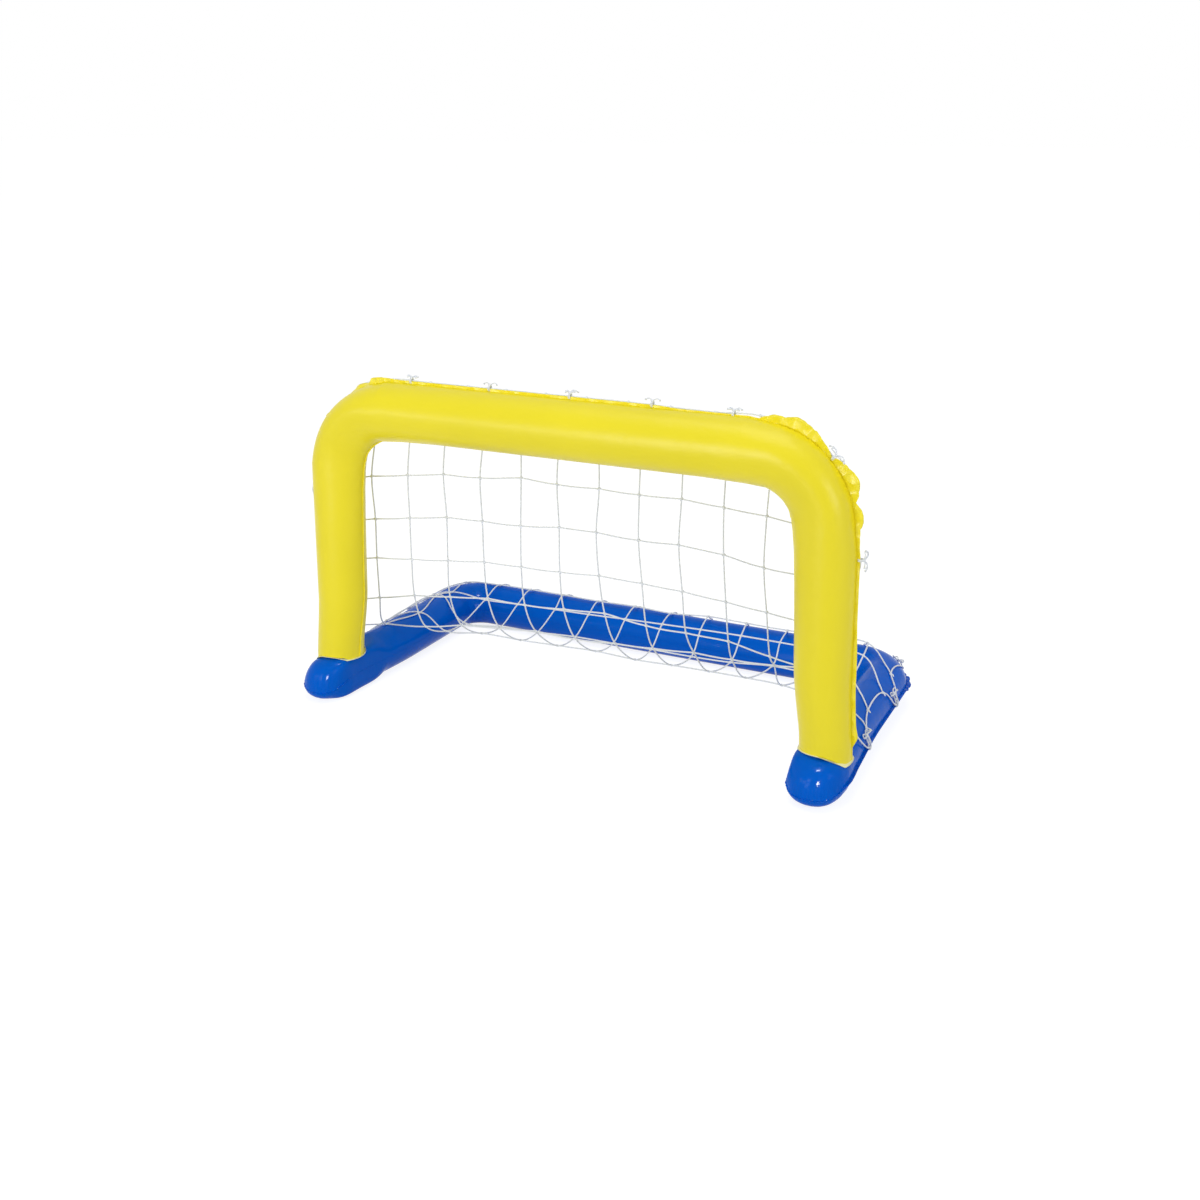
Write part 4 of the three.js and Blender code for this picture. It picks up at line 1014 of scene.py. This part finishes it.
class GOAL_OT_net(bpy.types.Operator):
    """Knots the net and lays it over the tubes"""

    bl_idname = "goal.net"
    bl_label = "Net"

    def execute(self, context):
        tubes = Tubes()
        net = Net(tubes)
        radius, last = tubes.sizes.net_cord / 2, NET_COLUMNS + 1
        knots = [[net.knot(c, r) for r in range(NET_ROWS + 1)] for c in range(last + 1)]
        pulls = {name: point + out * net.outside + back * net.behind
                 for name, point, along, back, out in tie_places(tubes)}

        def down_at(c, r):
            return (knots[c][min(r + 1, NET_ROWS)] - knots[c][max(r - 1, 0)]).normalized()

        bm = fresh()
        for c in range(1, last):
            swept(bm, net.draped(knots[c], 9), radius)
        for r in range(NET_ROWS + 1):
            swept(bm, net.draped([column[r] for column in knots], 8, 0.0015 if 1 < r < 8 else 0.0), radius)
        for c in range(1, last):
            for r in range(NET_ROWS + 1):
                across, down = (knots[c + 1][r] - knots[c - 1][r]).normalized(), down_at(c, r)
                slanted = (across + down * (0.6 if (c + r) % 2 else -0.6)).normalized()
                through = across.cross(down).normalized()
                knotted(bm, knots[c][r], slanted * 0.0050, through.cross(slanted) * 0.0036, through * 0.0032)
        panels = [f"net_{part}" for part in ("top_strip", "upper_panel", "middle_panel", "lower_panel", "rear_panel")]
        finished(bm, "net_mesh", "white_cord", panels, leaning=tubes.splayed)

        for word, side in SIDES.items():
            column, inner = (0, 1) if side < 0 else (last, last - 1)
            stations = []
            for r in range(NET_ROWS + 1):
                stations.append(knots[column][r])
                pull = {3: "post", 7: "arm_1", 10: "arm_2"}.get(r)
                if pull:
                    stations.append(pulls[f"tie_{word}_{pull}"])
            bm = fresh()
            swept(bm, net.draped(stations, 9), radius)
            for r in range(NET_ROWS + 1):
                start, down = knots[column][r], down_at(column, r)
                across = (start - knots[inner][r]).normalized()
                through = across.cross(down).normalized()
                knotted(bm, start, down * 0.0052, through.cross(down) * 0.0037, through * 0.0033)
                if 3 < r < NET_ROWS:
                    end = [start, start + across * 0.008 + through * 0.002, start + across * 0.015 + down * 0.004]
                    swept(bm, [tubes.laid(p, net.lay) for p in curve_through(end, 3)], radius * 0.9)
            finished(bm, f"net_{word}_border", "white_cord", [f"net_{word}_post_edge", f"net_{word}_arm_edge"],
                     leaning=tubes.splayed)
        return {"FINISHED"}


class GOAL_OT_ties(bpy.types.Operator):
    """Ties the net's border cord to the rims, with small bows"""

    bl_idname = "goal.ties"
    bl_label = "Ties"

    def execute(self, context):
        tubes = Tubes()
        radius = tubes.sizes.tie_cord / 2
        outside, behind, loop_radius = tubes.sizes.rim + 0.0004, 0.0026, 0.0060
        for order, (name, point, along, back, out) in enumerate(tie_places(tubes)):
            bm = fresh()

            def at(a, b, o):
                return point + along * a + back * b + out * o

            def stir(k):
                return noise.noise(Vector((order * 3.7, k * 5.1, 2.0)))

            def cord(points, steps):
                swept(bm, [tubes.laid(p, radius) for p in curve_through(points, steps)], radius)

            on_arm, on_bar = "_arm_" in name or "base_corner" in name, "crossbar" in name
            high, top = (0.031, -0.002) if on_arm else (behind, outside + loop_radius + radius)
            for shift in (-0.6, 0.6):
                across = radius * shift * 1.7
                if on_arm:
                    ring = [at(across, -0.0024, outside - 0.004), at(across, -0.001, outside + 0.002),
                            at(across, 0.014, outside + 0.003), at(across / 2, high + 0.002, top + 0.002),
                            at(across / 2, high - 0.004, top + 0.0005), at(across, 0.010, outside - 0.002)]
                    ring = curve_through([*ring, ring[0]], 4)[:-1]
                else:
                    ring = [at(across, behind + loop_radius * math.cos(t), outside + loop_radius * math.sin(t))
                            for t in (math.tau * k / 20 for k in range(20))]
                swept(bm, ring, radius, closed=True)
            start = at(0, high, top)
            knotted(bm, start, along * 0.0044, back * 0.0038, out * 0.0036)
            for side in (-1, 1):
                if "arm" in name or "corner" in name or order % 2 == 0:
                    size = (0.0195 if on_arm else 0.0110 if on_bar else 0.0165) + 0.004 * stir(side)
                    lean, flat = 0.004 * stir(side + 7), -0.5 if on_arm else 1
                    cord([start, at(side * size * 0.5, high + size * 0.25, top + (size * 0.30 + lean) * flat),
                          at(side * size, high + size * 0.32, top + (size * 0.28 + lean) * flat),
                          at(side * size * 1.12, high + size * 0.1, top + (lean - size * 0.02) * flat),
                          at(side * size * 0.6, high - size * 0.05, top + 0.002), start], 5)
                reach = (0.014 if on_bar else 0.021) + 0.006 * stir(side + 3)
                bend = 0.006 * stir(side + 11)
                end = at(side * reach * 1.05, high + 0.003 + bend * 2, top + reach * 0.12)
                cord([start, at(side * reach * 0.35, high + 0.003, top + reach * 0.22),
                      at(side * reach * 0.75, high + 0.004 + bend, top + reach * 0.30), end], 4)
                knotted(bm, end, along * 0.0025, back * 0.0022, out * 0.0022)
            finished(bm, name + "_cord", "white_cord", [name], leaning=tubes.splayed)
        return {"FINISHED"}


def eased(profile, radius):
    """An outline with each corner cut by a small arc of two points"""
    found = []
    for i, (r, z) in enumerate(profile):
        here = Vector((r, z))
        if r <= 1e-9:
            found.append((r, z))
            continue
        before, after = Vector(profile[i - 1]), Vector(profile[(i + 1) % len(profile)])
        ease = min(radius, (before - here).length * 0.4, (after - here).length * 0.4)
        a, b = (here + (end - here).normalized() * ease for end in (before, after))
        found += [tuple(a), tuple((a + b) / 2 * 0.5 + here * 0.5), tuple(b)]
    return found


def spun(profile, ease):
    """A closed outline of radius and height, spun about the upright axis"""
    bm = fresh()
    verts = [bm.verts.new((r, 0, z)) for r, z in eased(profile, ease)]
    edges = [bm.edges.new(pair) for pair in zip(verts, [*verts[1:], verts[0]])]
    bmesh.ops.spin(bm, geom=[*verts, *edges], cent=(0, 0, 0), axis=(0, 0, 1), angle=math.tau, steps=48, use_merge=True)
    bmesh.ops.remove_doubles(bm, verts=bm.verts, dist=1e-6)
    for face in bm.faces:
        for loop in face.loops:
            loop[own_map(bm)].uv = loop.vert.co.xy
    return bm


def block(bm, centre, size):
    """Adds a box to a piece"""
    made = bmesh.ops.create_cube(bm, size=1.0)["verts"]
    for v in made:
        v.co = Vector(a + b * c for a, b, c in zip(centre, v.co, size))
    return made


class GOAL_OT_valves(bpy.types.Operator):
    """Builds the two push-in valves: seat, stem, stopper on its strap, and check flap"""

    bl_idname = "goal.valves"
    bl_label = "Valves"

    def execute(self, context):
        tubes = Tubes()
        s = tubes.sizes
        spot = middle("base_valve_seat")
        slant = Vector((0, 1, 1)).normalized()
        frames = {
            "arch": (Vector((tubes.axis_x, tubes.y, middle("arch_valve_seat").z)), -X, Z, Y, s.post_radius),
            "base": (Vector((spot.x, tubes.y + s.base_depth, tubes.base_z)), X.cross(slant), X, slant, s.base_radius),
        }
        for prefix, (origin, ex, ey, ez, tube) in frames.items():
            place = Matrix.Translation(origin) @ Matrix((ex, ey, ez)).transposed().to_4x4()
            under, top = tube * math.cos(math.pi / 16) - 0.00065, tube + 0.0003
            rim_top = top + 0.0012
            bottom, cap = rim_top - 0.030, rim_top + 0.0003
            hinge, low = cap + 0.00045, bottom - 0.0003

            seat = spun([(0.00755, under), (0.0135, under), (0.0135, under - 0.001), (0.009, under - 0.001),
                         (0.009, under - 0.016), (0.00755, under - 0.016)], 0.0003)
            for v in seat.verts:
                if v.co.z > under - 0.0012:
                    v.co.z -= tube - math.sqrt(tube ** 2 - v.co.x ** 2)

            stem = spun([(0.0046, bottom), (0.0087, bottom), (0.0087, bottom + 0.0015), (0.0072, bottom + 0.0015),
                         (0.0072, top), (0.0094, top), (0.0094, rim_top), (0.0046, rim_top)], 0.00035)
            block(stem, (0.0105, 0, top + 0.000375), (0.006, 0.005, 0.00075))

            stopper = spun([(0, cap - 0.006), (0.0032, cap - 0.006), (0.0039, cap), (0.0084, cap),
                            (0.0084, cap + 0.0016), (0.0066, cap + 0.0016), (0.0056, cap + 0.0011),
                            (0, cap + 0.0011)], 0.0004)
            for v in block(stopper, (0.0103, 0, hinge), (0.0064, 0.006, 0.0009)):
                v.co.y *= 0.0046 / 0.006 if v.co.x > 0.0103 else 1
            roll = bmesh.ops.create_cone(stopper, cap_ends=True, segments=20, radius1=0.0009, radius2=0.0009, depth=0.005)
            for v in roll["verts"]:
                v.co = Vector((0.0135 + v.co.x, v.co.z, hinge + v.co.y))
            block(stopper, (-0.0092, 0, cap + 0.0008), (0.0032, 0.0042, 0.0010))

            flap = spun([(0, low - 0.0005), (0.0058, low - 0.0005), (0.0058, low), (0, low)], 0.00015)
            for word, bm in (("seat", seat), ("stem", stem), ("stopper", stopper), ("flap", flap)):
                bmesh.ops.recalc_face_normals(bm, faces=bm.faces)
                bmesh.ops.transform(bm, matrix=place, verts=bm.verts)
                fixed = "yellow_vinyl" if prefix == "arch" else "blue_vinyl"
                finished(bm, f"{prefix}_valve_{word}_part", fixed if bm is seat else "clear_vinyl",
                         [f"{prefix}_valve_{word}"], "goal" if bm is seat else f"{prefix}_{word}", smooth_angle=35.0,
                         faced=True)
        return {"FINISHED"}


class GOAL_OT_stage(bpy.types.Operator):
    """Sets the floor, the soft lights and the camera"""

    bl_idname = "goal.stage"
    bl_label = "Stage"

    def execute(self, context):
        scene = context.scene
        bm = bmesh.new()
        bmesh.ops.create_grid(bm, x_segments=2, y_segments=2, size=60.0)
        mesh = bpy.data.meshes.new("floor")
        bm.to_mesh(mesh)
        bm.free()
        floor = bpy.data.objects.new("floor", mesh)
        scene.collection.objects.link(floor)
        floor.location.z = -0.0005

        t = Tree(bpy.data.materials.new("pale_floor"))
        diffuse = t.node("ShaderNodeBsdfDiffuse", {}, {"Color": (*scene.goal_colours.floor, 1)})
        white = t.node("ShaderNodeEmission", {}, {"Color": (1, 1, 1, 1), "Strength": 1.55})
        mesh.materials.append(t.finish(t.node("ShaderNodeMixShader", {}, [t.seen() * 0.55, diffuse, white])))
        scene.world = bpy.data.worlds.new("studio")
        t = Tree(scene.world)
        lamp, backdrop = (t.node("ShaderNodeBackground", {}, {"Color": (1, 1, 1, 1), "Strength": v}) for v in (0.42, 1.0))
        t.finish(t.node("ShaderNodeMixShader", {}, [t.seen(), lamp, backdrop]), "ShaderNodeOutputWorld")

        aim = Vector((0, 0, 0.35))
        shiny = bpy.data.collections.new("shiny_blue_pieces")
        for piece in scene.objects:
            if piece.type == "MESH" and piece.name.startswith("base_"):
                shiny.objects.link(piece)
        for name, place, size, tall, power in (("key", (-0.8, -4.2, 0.65), 0.9, 2.1, 46),
                                               ("band", (-2.7, -4.0, 0.9), 2.4, 0.6, 20),
                                               ("top", (0.3, -0.6, 4.2), 2.7, 2.7, 46),
                                               ("fill", (4.2, -1.6, 1.6), 1.9, 1.9, 36),
                                               ("glint", (2.0, -4.0, 0.35), 0.45, 0.45, 300),
                                               ("spark", (0.5, -1.5, 3.6), 0.35, 0.35, 180)):
            light = bpy.data.lights.new(name, "AREA")
            light.shape, light.size, light.size_y, light.energy = "RECTANGLE", size, tall, power
            lamp_object = bpy.data.objects.new(name, light)
            if name in ("glint", "spark"):
                lamp_object.visible_diffuse = False
                lamp_object.light_linking.receiver_collection = shiny
            lamp_object.location = place
            lamp_object.rotation_euler = (aim - Vector(place)).to_track_quat("-Z", "Y").to_euler()
            scene.collection.objects.link(lamp_object)

        yaw, pitch = 0.454, 0.2375
        ahead = Vector((-math.sin(yaw) * math.cos(pitch), math.cos(yaw) * math.cos(pitch), -math.sin(pitch)))
        right = Vector((math.cos(yaw), math.sin(yaw), 0))
        camera_data = bpy.data.cameras.new("camera")
        camera = bpy.data.objects.new("camera", camera_data)
        turn = Matrix((right, right.cross(ahead), -ahead)).transposed().to_4x4()
        camera.matrix_world = Matrix.Translation((1.4164, -2.7089 + POST_FOOT.y, 1.4412)) @ turn
        camera_data.sensor_width = 36.0
        camera_data.lens = 1393.97 / 1200 * 36.0
        camera_data.shift_y = -0.125
        camera_data.clip_end = 200.0
        scene.collection.objects.link(camera)
        scene.camera = camera
        scene.view_settings.view_transform = "Standard"
        return {"FINISHED"}


class GOAL_PT_panel(bpy.types.Panel):
    """Steps that build the goal"""

    bl_label = "Water polo goal"
    bl_idname = "GOAL_PT_panel"
    bl_space_type = "VIEW_3D"
    bl_region_type = "UI"
    bl_category = "Goal"

    def draw(self, context):
        for step in STEPS:
            self.layout.operator(step.bl_idname)
        for group in (context.scene.goal_sizes, context.scene.goal_colours):
            box = self.layout.box()
            for key in group.__annotations__:
                box.prop(group, key)


STEPS = (GOAL_OT_arch, GOAL_OT_base, GOAL_OT_patches, GOAL_OT_net, GOAL_OT_ties, GOAL_OT_valves, GOAL_OT_stage)
CLASSES = (GoalSizes, GoalColours, *STEPS, GOAL_PT_panel)


def register():
    for item in CLASSES:
        bpy.utils.register_class(item)
    bpy.types.Scene.goal_sizes = PointerProperty(type=GoalSizes)
    bpy.types.Scene.goal_colours = PointerProperty(type=GoalColours)


def unregister():
    del bpy.types.Scene.goal_sizes
    del bpy.types.Scene.goal_colours
    for item in reversed(CLASSES):
        bpy.utils.unregister_class(item)


def main():
    register()
    for step in STEPS:
        group, name = step.bl_idname.split(".")
        getattr(getattr(bpy.ops, group), name)()


if __name__ == "__main__":
    main()
